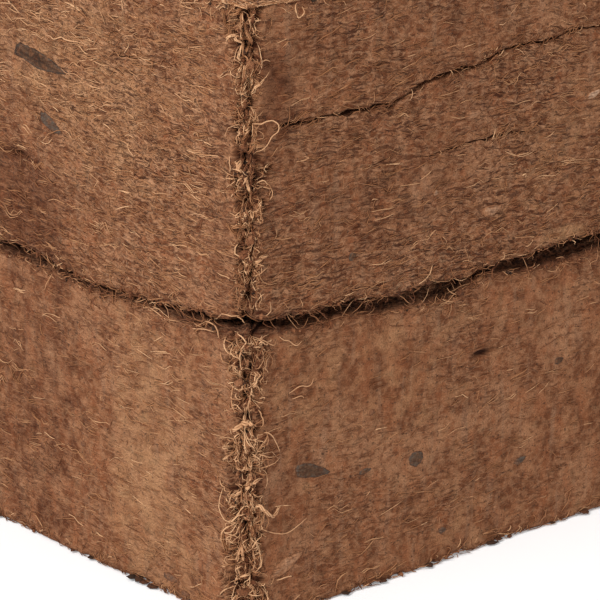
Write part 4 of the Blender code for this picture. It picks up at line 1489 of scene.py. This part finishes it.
def new_group(name, inputs, outputs):
    """An empty node group: its nodes, its inputs and its outputs. An input without a value is a place."""
    tree = bpy.data.node_groups.new(name, "ShaderNodeTree")
    for label, value in inputs.items():
        kind = "NodeSocketVector" if value is None else "NodeSocketFloat"
        socket = tree.interface.new_socket(label, in_out="INPUT", socket_type=kind)
        if value is not None:
            socket.default_value = value
    for label in outputs:
        tree.interface.new_socket(label, in_out="OUTPUT", socket_type="NodeSocketFloat")
    given, result = tree.nodes.new("NodeGroupInput"), tree.nodes.new("NodeGroupOutput")
    return Nodes(tree), given.outputs, result.inputs


def streak_group():
    """Mask of short fibres that lie in one direction. Place is in millimetres."""
    inputs = {"Place": None, "Turn": 0.0, "Length": 2.4, "Width": 0.3, "Start": 0.58, "Softness": 0.1}
    n, given, result = new_group("coir streaks", inputs, ["Mask"])
    feeds = {"Vector": given["Place"], "Angle": given["Turn"]}
    turned = n.add("ShaderNodeVectorRotate", feeds, rotation_type="Z_AXIS").outputs[0]
    parts = n.add("ShaderNodeSeparateXYZ", {0: turned}).outputs
    x = n.math("DIVIDE", parts[0], given["Length"])
    y = n.math("DIVIDE", parts[1], given["Width"])
    value = n.noise(n.add("ShaderNodeCombineXYZ", {0: x, 1: y}).outputs[0], 0.5, 1.0, roughness=0.4)
    n.feed(result["Mask"], n.step(value, given["Start"], n.plus(given["Start"], given["Softness"])))


def curl_group():
    """Mask of thin curly fibres: the level lines of a smooth noise, broken up."""
    inputs = {"Place": None, "Pitch": 3.0, "Width": 0.03, "Level": 0.5, "Shift": None}
    n, given, result = new_group("coir curls", inputs, ["Mask"])
    scale = n.math("DIVIDE", 1.0, given["Pitch"])
    place = n.vector("ADD", given["Place"], given["Shift"])
    off = n.math("ABSOLUTE", n.minus(n.noise(place, scale, 1.0), given["Level"]))
    line = n.step(off, 0.0, given["Width"], 1.0, 0.0)
    parts = n.noise(n.moved(place, 31.0, 17.0), n.times(scale, 0.6))
    n.feed(result["Mask"], n.times(line, n.step(parts, 0.48, 0.56)))


def grain_group():
    """Fine grain of pith and dust: a value round a half, and a mask of dark specks."""
    n, given, result = new_group("pith grain", {"Place": None, "Pitch": 0.4}, ["Grain", "Specks"])
    scale = n.math("DIVIDE", 1.0, given["Pitch"])
    coarse = n.noise(given["Place"], n.times(scale, 0.42), 1.0, flat=False)
    n.feed(result["Grain"], n.noise(given["Place"], scale, 1.0, flat=False))
    n.feed(result["Specks"], n.step(coarse, 0.64, 0.7))


GROUPS = {"coir streaks": streak_group, "coir curls": curl_group, "pith grain": grain_group}


def group_node(n, name, **feeds):
    """The outputs of a shared node group placed in a tree. The group is built the first time."""
    if name not in bpy.data.node_groups:
        GROUPS[name]()
    return n.add("ShaderNodeGroup", feeds, node_tree=bpy.data.node_groups[name]).outputs


class Finish(Nodes):
    """A new material's nodes, with the inputs of its plain shader and what every finish here shares."""

    def __init__(self, name, specular):
        self.material = bpy.data.materials.new(name)
        self.material.use_nodes = True
        super().__init__(self.material.node_tree)
        self.shader = self.tree.nodes["Principled BSDF"].inputs
        self.shader["Metallic"].default_value = 0.0
        self.shader["Specular IOR Level"].default_value = specular

    def millimetres(self):
        """Places on the piece, in millimetres."""
        return self.scaled(self.add("ShaderNodeTexCoord").outputs["Object"], 1 / MM, 1 / MM, 1 / MM)

    def surface(self, colour, roughness, height, strength=1.0, depth=1.0):
        """Feeds the shader, with a relief whose depth is in millimetres, and returns the material."""
        bump = self.add("ShaderNodeBump", {"Height": height, "Strength": strength, "Distance": depth * MM})
        self.feed(self.shader["Base Color"], colour)
        self.feed(self.shader["Roughness"], roughness)
        self.feed(self.shader["Normal"], bump.outputs["Normal"])
        return self.material


# Layers of short fibres in the felt: turn in degrees, length, width, start, what they are. The gap layers are
# painted shade between the fibres, and the fissure layers are painted shade in fine cracks.
STREAKS = (
    (3, 1.9, 0.38, 0.59, "pale"), (16, 1.6, 0.36, 0.605, "pale"), (-12, 1.6, 0.36, 0.6, "tan"),
    (34, 1.3, 0.34, 0.62, "tan"), (-32, 1.2, 0.34, 0.63, "pale"), (84, 0.9, 0.32, 0.65, "tan"),
    (4, 1.2, 0.4, 0.595, "gap"), (-8, 1.0, 0.4, 0.605, "gap"), (20, 0.9, 0.38, 0.615, "gap"),
    (3, 4.6, 0.4, 0.655, "fissure"), (-3, 3.4, 0.38, 0.665, "fissure"), (8, 2.6, 0.38, 0.675, "fissure"),
)

# Layers of curly fibres in the felt: name, pitch, width of the line, shift
CURLS = (("curls", 2.2, 0.035, (5.0, 9.0, 0.0)), ("fine curls", 1.2, 0.05, (71.0, 3.0, 0.0)))


def felt_material(name, colours):
    """Pressed felt of short fibres and pith, with worn and raw places and pits, and painted shade between its
    fibres and in its cracks, pits, seam and worn strip.
    """
    n = Finish(name, 0.12)
    mapped = n.add("ShaderNodeUVMap", uv_map="felt").outputs[0]
    bends = []
    for scale, reach in ((0.2, (1.0, 1.3)), (0.75, (0.4, 0.4))):
        swirl = n.noise(mapped, scale, output="Color")
        bends.append(n.scaled(n.vector("SUBTRACT", swirl, (0.5, 0.5, 0.5)), *reach))
    place = n.vector("ADD", mapped, n.vector("ADD", *bends))

    masks = {}
    for k, (turn, length, width, start, kind) in enumerate(STREAKS):
        mask = group_node(
            n, "coir streaks", Place=n.moved(place, 37.0 * k, 53.0 * k), Turn=math.radians(turn),
            Length=length, Width=width, Start=start, Softness=0.12)["Mask"]
        masks[kind] = n.math("MAXIMUM", masks[kind], mask) if kind in masks else mask
    lying = n.scaled(place, 0.4, 1.0)
    for kind, pitch, width, shift in CURLS:
        masks[kind] = group_node(n, "coir curls", Place=lying, Pitch=pitch, Width=width, Shift=shift)["Mask"]
    grain = group_node(n, "pith grain", Place=mapped, Pitch=0.42)

    # How much of the felt is fibre and how much is pith, which is smoother
    fibrous = n.attribute("fibrous")
    masks = {kind: n.times(mask, fibrous) for kind, mask in masks.items()}
    masks["gap"] = n.times(masks["gap"], fibrous)

    # Level cracks too fine for the mesh, mostly on the faces whose bedding shows, painted dark as their shade
    # and dented in the relief
    bedding = n.attribute("bedding")
    fissure = n.times(masks["fissure"], bedding, clamp=True)

    # Broad patches of colour
    broad = n.noise(mapped, 0.045, 2.0)
    middling = n.noise(n.moved(mapped, 400.0, 90.0), 0.16, 2.0)
    small = n.noise(n.moved(mapped, 40.0, 700.0), 0.5, 2.0)
    lighter = n.times(n.step(small, 0.42, 0.66), n.step(fibrous, 0.0, 1.0, 0.42, 0.6))
    dull = n.step(n.minus(1.0, small), 0.52, 0.68)
    mottled = n.plus(n.times(bedding, n.step(fibrous, 0.0, 1.0, 0.3, 0.68)), 0.2)
    mould = n.noise(n.scaled(mapped, 0.33, 0.045), 1.0, 2.0)
    rust = n.noise(n.scaled(n.moved(mapped, 900.0, 30.0), 0.22, 0.1), 1.0, 2.0)
    base = n.layers(
        n.mix(n.step(middling, 0.38, 0.62), colours.shade, colours.felt),
        (n.step(broad, 0.5, 0.66), 0.6, colours.golden), (lighter, 1, colours.golden),
        (n.times(dull, mottled, clamp=True), 1, colours.shade),
        (n.step(mould, 0.56, 0.74), 0.3, colours.mould), (n.step(rust, 0.5, 0.68), 0.45, colours.rust))

    # Broad stains with uneven edges, and raw felt in the worn strip, the seam and the cracks, partly painted
    # shade: the worn strip is darkened for the shade among its pits and rags, and the seam and the cracks are
    # darkened inside. Then painted shade between the fibres.
    stain = n.plus(n.attribute("stain"), n.times(n.minus(middling, 0.5), 1.2))
    torn_and_shade, worn, painted_pit_shade = (n.attribute(kind) for kind in ("torn_and_shade", "worn", "painted_pit_shade"))
    ragged = n.noise(n.moved(mapped, 70.0, 80.0), 0.75, 1.0)
    rag_shade = n.step(n.minus(1.0, ragged), 0.48, 0.57, 0.0, 0.95)
    # Near-black painted shade deep inside the seam and the cracks
    deep = n.times(n.step(torn_and_shade, 0.8, 1.0, 0.0, 0.95), n.step(ragged, 0.4, 0.6, 1.0, 0.12))
    base = n.layers(
        base, (n.step(stain, 0.1, 0.95, 0.0, 0.75), 1, colours.stain_golden), (worn, 0.7, colours.worn),
        (n.times(worn, n.step(ragged, 0.54, 0.64, 0.0, 0.85)), 1, colours.golden),
        (n.times(worn, rag_shade), 1, colours.gap), (torn_and_shade, 0.85, colours.torn_and_shade), (deep, 1, colours.deep),
        (masks["gap"], 0.72, colours.gap), (masks["tan"], 0.55, colours.tan),
        (masks["pale"], 0.55, colours.pale), (masks["curls"], 0.3, colours.pale),
        (masks["fine curls"], 0.18, colours.tan))

    # Grain, dark stains and dull patches over all of it, and the darkest places last. The dark stains include
    # painted shade in a shallow gouge near the top of the surveyed corner; the darkest places are painted
    # shade in fine cracks and pits.
    base = n.mix(1.0, base, n.step(grain["Grain"], 0.25, 0.75, 0.78, 1.22), "MULTIPLY")
    base = n.mix(n.step(n.times(stain, -1.0), 0.1, 1.0), base, colours.stain_and_shade_dark, "MULTIPLY")
    dusty = n.noise(n.moved(mapped, 210.0, 330.0), 0.28, 2.0)
    base = n.mix(n.step(dusty, 0.56, 0.72, 0.0, 0.4), base, colours.dusty, "MULTIPLY")
    base = n.layers(
        base, (grain["Specks"], 0.6, colours.speck), (fissure, 0.85, colours.gap),
        # Painted shade in the pits, near-black in the deepest
        (painted_pit_shade, 0.85, colours.gap), (n.step(painted_pit_shade, 0.55, 1.0, 0.0, 0.75), 1, colours.deep))

    height = n.times(masks["pale"], 0.2)
    for kind, share in (("tan", 0.17), ("curls", 0.16)):
        height = n.math("MAXIMUM", height, n.times(masks[kind], share))
    height = n.minus(height, n.times(masks["gap"], 0.2))
    height = n.plus(height, n.times(grain["Grain"], 0.07))
    height = n.minus(height, n.times(fissure, 0.3))
    height = n.plus(height, n.times(small, 0.25))
    return n.surface(base, n.minus(0.93, n.times(masks["pale"], 0.16)), height)


def fibre_material(name, colours):
    """Single coir fibres, from dark brown through tan to pale straw."""
    n = Finish(name, 0.18)
    place = n.millimetres()
    along = n.noise(place, 0.35, 1.0, flat=False)
    grain = group_node(n, "pith grain", Place=place, Pitch=0.5)
    mixed = n.plus(n.attribute("tone"), n.times(n.minus(along, 0.5), 0.35), clamp=True)
    base = n.ramp(mixed, (
        (0.0, colours.fibre_dark), (0.35, colours.fibre_brown), (0.65, colours.fibre_tan),
        (1.0, colours.fibre_pale)))
    base = n.layers(base, (grain["Specks"], 0.5, colours.speck))
    return n.surface(base, n.step(along, 0.3, 0.7, 0.5, 0.72), grain["Grain"], strength=0.5, depth=0.05)


def crumb_material(name, colours):
    """Loose crumbs of pith."""
    n = Finish(name, 0.2)
    grain = group_node(n, "pith grain", Place=n.millimetres(), Pitch=0.35)["Grain"]
    base = n.ramp(n.attribute("tone"), (
        (0.0, colours.chip_dark), (0.3, colours.shade), (0.6, colours.felt), (1.0, colours.golden)))
    base = n.mix(1.0, base, n.step(grain, 0.25, 0.75, 0.6, 1.4), "MULTIPLY")
    return n.surface(base, n.step(grain, 0.3, 0.7, 0.85, 0.97), grain, depth=0.15)


def chip_material(name, colours):
    """Bits of husk and bark pressed into the felt: grey-brown, bluish or pale, with a fine grain."""
    n = Finish(name, 0.1)
    place = n.millimetres()
    grain = group_node(n, "pith grain", Place=place, Pitch=0.5)["Grain"]
    cloud = n.noise(place, 0.7, 2.0, flat=False)
    level = n.noise(n.scaled(place, 0.4, 0.4, 2.6), 1.0, 1.0, flat=False)
    base = n.ramp(n.attribute("tone"), (
        (0.0, colours.chip_dark), (0.2, colours.chip_grey), (0.45, colours.chip_blue), (0.65, colours.felt),
        (0.8, colours.golden), (1.0, colours.chip_pale)))
    base = n.layers(
        base, (n.step(cloud, 0.5, 0.66, 0.0, 0.4), 1, colours.felt),
        (n.step(level, 0.52, 0.62, 0.0, 0.5), 1, colours.gap))
    base = n.mix(1.0, base, n.step(grain, 0.25, 0.75, 0.75, 1.25), "MULTIPLY")
    height = n.plus(n.times(cloud, 0.5), n.times(level, 0.6))
    return n.surface(base, n.step(cloud, 0.3, 0.7, 0.7, 0.9), height, depth=0.3)


def floor_material(colour):
    """Plain pale paint for the floor."""
    n = Finish("pale_floor", 0.5)
    cloud = n.noise(n.add("ShaderNodeTexCoord").outputs["Object"], 3.0, 2.0, flat=False)
    n.feed(n.shader["Base Color"], n.mix(cloud, [0.985 * c for c in colour], colour))
    n.shader["Roughness"].default_value = 0.9
    n.shader["Emission Color"].default_value = (0.9, 0.96, 1.0, 1.0)
    n.shader["Emission Strength"].default_value = 0.2
    return n.material


def finish(context, name, build):
    """A material by name, built the first time it is asked for."""
    return bpy.data.materials.get(name) or build(name, context.scene.bale_colours)


# Settings that a user may change

def length_setting(name, description, default, least, most):
    return bpy.props.FloatProperty(
        name=name, description=description, default=default, min=least, max=most, unit="LENGTH", precision=5)


def colour_setting(name, description, default):
    return bpy.props.FloatVectorProperty(
        name=name, description=description, default=default, subtype="COLOR", size=3, min=0.0, max=1.0)


class BaleForm(bpy.types.PropertyGroup):
    """How worn and lumpy the bale is."""
    corner_strip: length_setting(
        "Corner strip", "Leg of the worn strip across each upright corner", 0.0042, 0.001, 0.008)
    corner_pits: length_setting("Corner pits", "Depth of the pits in the worn strips", 0.0024, 0.0, 0.004)
    felt_lumps: length_setting("Felt lumps", "Height of the felt's low lumps", 0.0003, 0.0, 0.001)
    lip_drop: length_setting(
        "Lip rounding", "How far the seam's lips are rounded off up and down the face", 0.0012, 0.0004, 0.003)


class BaleFibres(bpy.types.PropertyGroup):
    """How hairy the bale is."""
    radius: length_setting("Fibre radius", "Usual radius of a single coir fibre", 0.00013, 0.00005, 0.0004)
    density: bpy.props.FloatProperty(
        name="Fibres", description="Loose fibres per square millimetre of face",
        default=0.3, min=0.0, max=0.5)
    tangle: bpy.props.FloatProperty(
        name="Tangle",
        description="How many fibres stand in the corners, the seam and the cracks, 1 as surveyed",
        default=1.0, min=0.0, max=1.4)


class BaleColours(bpy.types.PropertyGroup):
    """Colours of the coir, and of the shade painted into it."""
    felt: colour_setting("Felt", "Main colour of the pressed felt", (0.196, 0.078, 0.0345))
    shade: colour_setting("Dark felt", "Its darker patches", (0.12, 0.0405, 0.016))
    golden: colour_setting("Golden felt", "Its lighter, yellower patches", (0.287, 0.136, 0.068))
    # Partly painted shade: the worn strip is darker for the shade among its pits and tangled fibres
    worn: colour_setting("Worn corner", "Felt of the worn upright corners", (0.127, 0.04, 0.0145))
    # Raw felt at the lips and rims, and painted shade inside the seam and the cracks
    torn_and_shade: colour_setting("Torn felt", "Raw felt in the seam and the cracks", (0.09, 0.0295, 0.0135))
    # Painted shade between fibres, in fine cracks, in pits and among the worn strip's rags; the husk chips
    # also use it for their dark grain
    gap: colour_setting("Gaps", "Dark gaps between fibres", (0.05, 0.014, 0.0055))
    tan: colour_setting("Tan fibres", "Fibres in the felt", (0.282, 0.127, 0.061))
    pale: colour_setting("Pale fibres", "Palest fibres in the felt", (0.392, 0.201, 0.106))
    speck: colour_setting("Specks", "Dark specks of pith", (0.035, 0.018, 0.011))
    mould: colour_setting("Bloom", "Faint pale bloom", (0.25, 0.142, 0.086))
    rust: colour_setting("Rusty felt", "Faint reddish patches", (0.235, 0.080, 0.032))
    # Painted shade: near-black for deep inside the seam and the cracks
    deep: colour_setting("Deep gaps", "Felt deep inside the seam and the cracks", (0.016, 0.006, 0.004))
    stain_golden: colour_setting("Golden stain", "Broad golden stains", (0.328, 0.17, 0.081))
    # Multiplies in dark stains, and the painted shade of a shallow gouge near the top of the surveyed corner
    stain_and_shade_dark: colour_setting("Dark stain", "What broad dark stains leave of the colour", (0.6, 0.53, 0.5))
    dusty: colour_setting("Dusty felt", "What dull greenish patches leave of the colour", (0.68, 0.75, 0.76))
    fibre_dark: colour_setting("Dark loose fibre", "Loose fibres of the lowest tone", (0.066, 0.0195, 0.0072))
    fibre_brown: colour_setting("Brown loose fibre", "Loose fibres of a low tone", (0.155, 0.053, 0.0205))
    fibre_tan: colour_setting("Tan loose fibre", "Loose fibres of a middle tone", (0.325, 0.142, 0.06))
    fibre_pale: colour_setting("Pale loose fibre", "Loose fibres of the highest tone", (0.67, 0.39, 0.208))
    chip_dark: colour_setting("Dark chip", "Darkest husk chips", (0.028, 0.0155, 0.0097))
    chip_grey: colour_setting("Grey chip", "Grey husk chips", (0.088, 0.045, 0.0245))
    chip_blue: colour_setting("Bluish chip", "Bluish husk chips", (0.075, 0.058, 0.045))
    chip_pale: colour_setting("Pale chip", "Palest husk chips", (0.42, 0.29, 0.2))


class BaleStage(bpy.types.PropertyGroup):
    """The floor and the light."""
    floor: colour_setting("Floor", "Colour of the floor", (0.94, 0.94, 0.94))
    key: bpy.props.FloatProperty(
        name="Key light", description="Power of the soft light at the upper left",
        default=27.0, min=0.0, max=500.0, subtype="POWER")
    fill: bpy.props.FloatProperty(
        name="Surroundings", description="Strength of the even light from all round",
        default=0.75, min=0.0, max=3.0)


def coir_piece(context, name, mesh, layer, material, replaces=None):
    """Places one mesh as a piece of the bale's body, with its finish. The layer is not used."""
    piece = bpy.data.objects.new(name, mesh)
    context.scene.collection.objects.link(piece)
    mesh.materials.append(material)
    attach(piece, BODY)
    if replaces:
        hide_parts(replaces)
    return piece


def layer_piece(context, layer, part, build, material):
    """Makes one kind of loose stuff of a layer, and places it as a piece."""
    name = layer.replace("layer", part)
    coir_piece(context, name, build(layer, Bale(context.scene)).mesh(name), layer, material)


class MakeFelt(bpy.types.Operator):
    """Make the felted skins of both layers"""
    bl_idname = "coir_bale.make_felt"
    bl_label = "Felt skins"

    def execute(self, context):
        for layer, build in ((LOWER, lower_stack), (UPPER, upper_stack)):
            name = layer.replace("layer", "felt")
            mesh = skin_mesh(name, build(Bale(context.scene)), layer == UPPER)
            coir_piece(context, name, mesh, layer, finish(context, name, felt_material), replaces=layer)
        return {"FINISHED"}


class MakeFaceFibres(bpy.types.Operator):
    """Make the short fibres that lie in the faces and the top"""
    bl_idname = "coir_bale.make_face_fibres"
    bl_label = "Face fibres"

    def execute(self, context):
        material = finish(context, "coir_fibre", fibre_material)
        for layer in (LOWER, UPPER):
            layer_piece(context, layer, "face_fibres", face_fibres, material)
        mesh = top_fibres(Bale(context.scene)).mesh("top_fibres")
        coir_piece(context, "top_fibres", mesh, UPPER, material)
        return {"FINISHED"}


class MakeEdgeFibres(bpy.types.Operator):
    """Make the tangle of the upright corners, the seam, the cracks and the rims"""
    bl_idname = "coir_bale.make_edge_fibres"
    bl_label = "Edge fibres"

    def execute(self, context):
        material = finish(context, "coir_fibre", fibre_material)
        for layer in (LOWER, UPPER):
            layer_piece(context, layer, "edge_fibres", edge_fibres, material)
        return {"FINISHED"}


class MakeStrands(bpy.types.Operator):
    """Make the long loose strands of the surveyed corner"""
    bl_idname = "coir_bale.make_strands"
    bl_label = "Loose strands"

    def execute(self, context):
        for layer in (LOWER, UPPER):
            layer_piece(context, layer, "strands", strands, finish(context, "coir_fibre", fibre_material))
        return {"FINISHED"}


class MakeCrumbs(bpy.types.Operator):
    """Make the crumbs of pith and the husk chips"""
    bl_idname = "coir_bale.make_crumbs"
    bl_label = "Crumbs and husk chips"

    def execute(self, context):
        for layer in (LOWER, UPPER):
            layer_piece(context, layer, "crumbs", crumbs, finish(context, "pith_crumb", crumb_material))
            layer_piece(context, layer, "husk_chips", chips, finish(context, "husk_chip", chip_material))
        return {"FINISHED"}


class MakeStage(bpy.types.Operator):
    """Make the floor, the light and the camera"""
    bl_idname = "coir_bale.make_stage"
    bl_label = "Stage"

    def execute(self, context):
        settings = context.scene.bale_stage
        corners = [(x * FLOOR_REACH, y * FLOOR_REACH, 0.0) for x, y in ((-1, -1), (1, -1), (1, 1), (-1, 1))]
        mesh = bpy.data.meshes.new("floor")
        mesh.from_pydata(corners, [], [(0, 1, 2, 3)])
        floor = bpy.data.objects.new("floor", mesh)
        floor.location.z = CAD_BOUNDS[0].z - FLOOR_DROP
        context.scene.collection.objects.link(floor)
        mesh.materials.append(floor_material(tuple(settings.floor)))

        world = bpy.data.worlds.new("pale_room")
        world.use_nodes = True
        background = world.node_tree.nodes["Background"]
        background.inputs["Color"].default_value = (1.0, 0.965, 0.95, 1.0)
        background.inputs["Strength"].default_value = settings.fill
        context.scene.world = world

        lamp = bpy.data.lights.new("key", "AREA")
        lamp.shape = "DISK"
        lamp.size = KEY_WIDTH
        lamp.energy = settings.key
        lamp.color = (1.0, 1.0, 0.99)
        key = bpy.data.objects.new("key", lamp)
        key.location = KEY_PLACE
        aim = Vector((HALF * MM, -HALF * MM, HEIGHT / 2 * MM)) - key.location
        key.rotation_euler = aim.to_track_quat("-Z", "Y").to_euler()
        context.scene.collection.objects.link(key)

        camera_data = bpy.data.cameras.new("camera")
        camera_data.lens = CAMERA_LENS
        camera_data.sensor_width = CAMERA_SENSOR
        camera_data.clip_start = 0.01
        camera = bpy.data.objects.new("camera", camera_data)
        context.scene.collection.objects.link(camera)
        camera.matrix_world = camera_pose()
        context.scene.camera = camera
        context.scene.view_settings.view_transform = "Standard"
        context.scene.view_settings.look = "None"
        return {"FINISHED"}


def camera_pose():
    """The camera's place and direction, from its azimuth, elevation and roll."""
    a, e, r = CAMERA_AZIMUTH, CAMERA_ELEVATION, CAMERA_ROLL
    back = Vector((math.sin(a) * math.cos(e), -math.cos(a) * math.cos(e), math.sin(e)))
    right = (-back).cross(Vector((0, 0, 1))).normalized()
    up = right.cross(-back)
    right, up = right * math.cos(r) + up * math.sin(r), up * math.cos(r) - right * math.sin(r)
    pose = Matrix((right, up, back)).transposed().to_4x4()
    pose.translation = CAMERA_PLACE
    return pose


class BalePanel(bpy.types.Panel):
    """Lists the steps that dress the bale, with their settings"""
    bl_idname = "VIEW3D_PT_coir_bale"
    bl_label = "Coir bale"
    bl_space_type = "VIEW_3D"
    bl_region_type = "UI"
    bl_category = "Coir bale"

    def draw(self, context):
        for operator in OPERATORS:
            self.layout.operator(operator.bl_idname)
        for group in SETTINGS:
            box = self.layout.box()
            for name in group.__annotations__:
                box.prop(getattr(context.scene, SETTINGS[group]), name)


SETTINGS = {
    BaleForm: "bale_form", BaleFibres: "bale_fibres", BaleColours: "bale_colours", BaleStage: "bale_stage",
}
OPERATORS = (MakeStage, MakeFelt, MakeFaceFibres, MakeEdgeFibres, MakeStrands, MakeCrumbs)


def register():
    for group, name in SETTINGS.items():
        bpy.utils.register_class(group)
        setattr(bpy.types.Scene, name, bpy.props.PointerProperty(type=group))
    for operator in OPERATORS:
        bpy.utils.register_class(operator)
    bpy.utils.register_class(BalePanel)


def unregister():
    bpy.utils.unregister_class(BalePanel)
    for operator in reversed(OPERATORS):
        bpy.utils.unregister_class(operator)
    for group, name in SETTINGS.items():
        delattr(bpy.types.Scene, name)
        bpy.utils.unregister_class(group)


def main():
    """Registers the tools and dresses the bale."""
    register()
    bpy.ops.coir_bale.make_stage()
    bpy.ops.coir_bale.make_felt()
    bpy.ops.coir_bale.make_face_fibres()
    bpy.ops.coir_bale.make_edge_fibres()
    bpy.ops.coir_bale.make_strands()
    bpy.ops.coir_bale.make_crumbs()


if __name__ == "__main__":
    main()
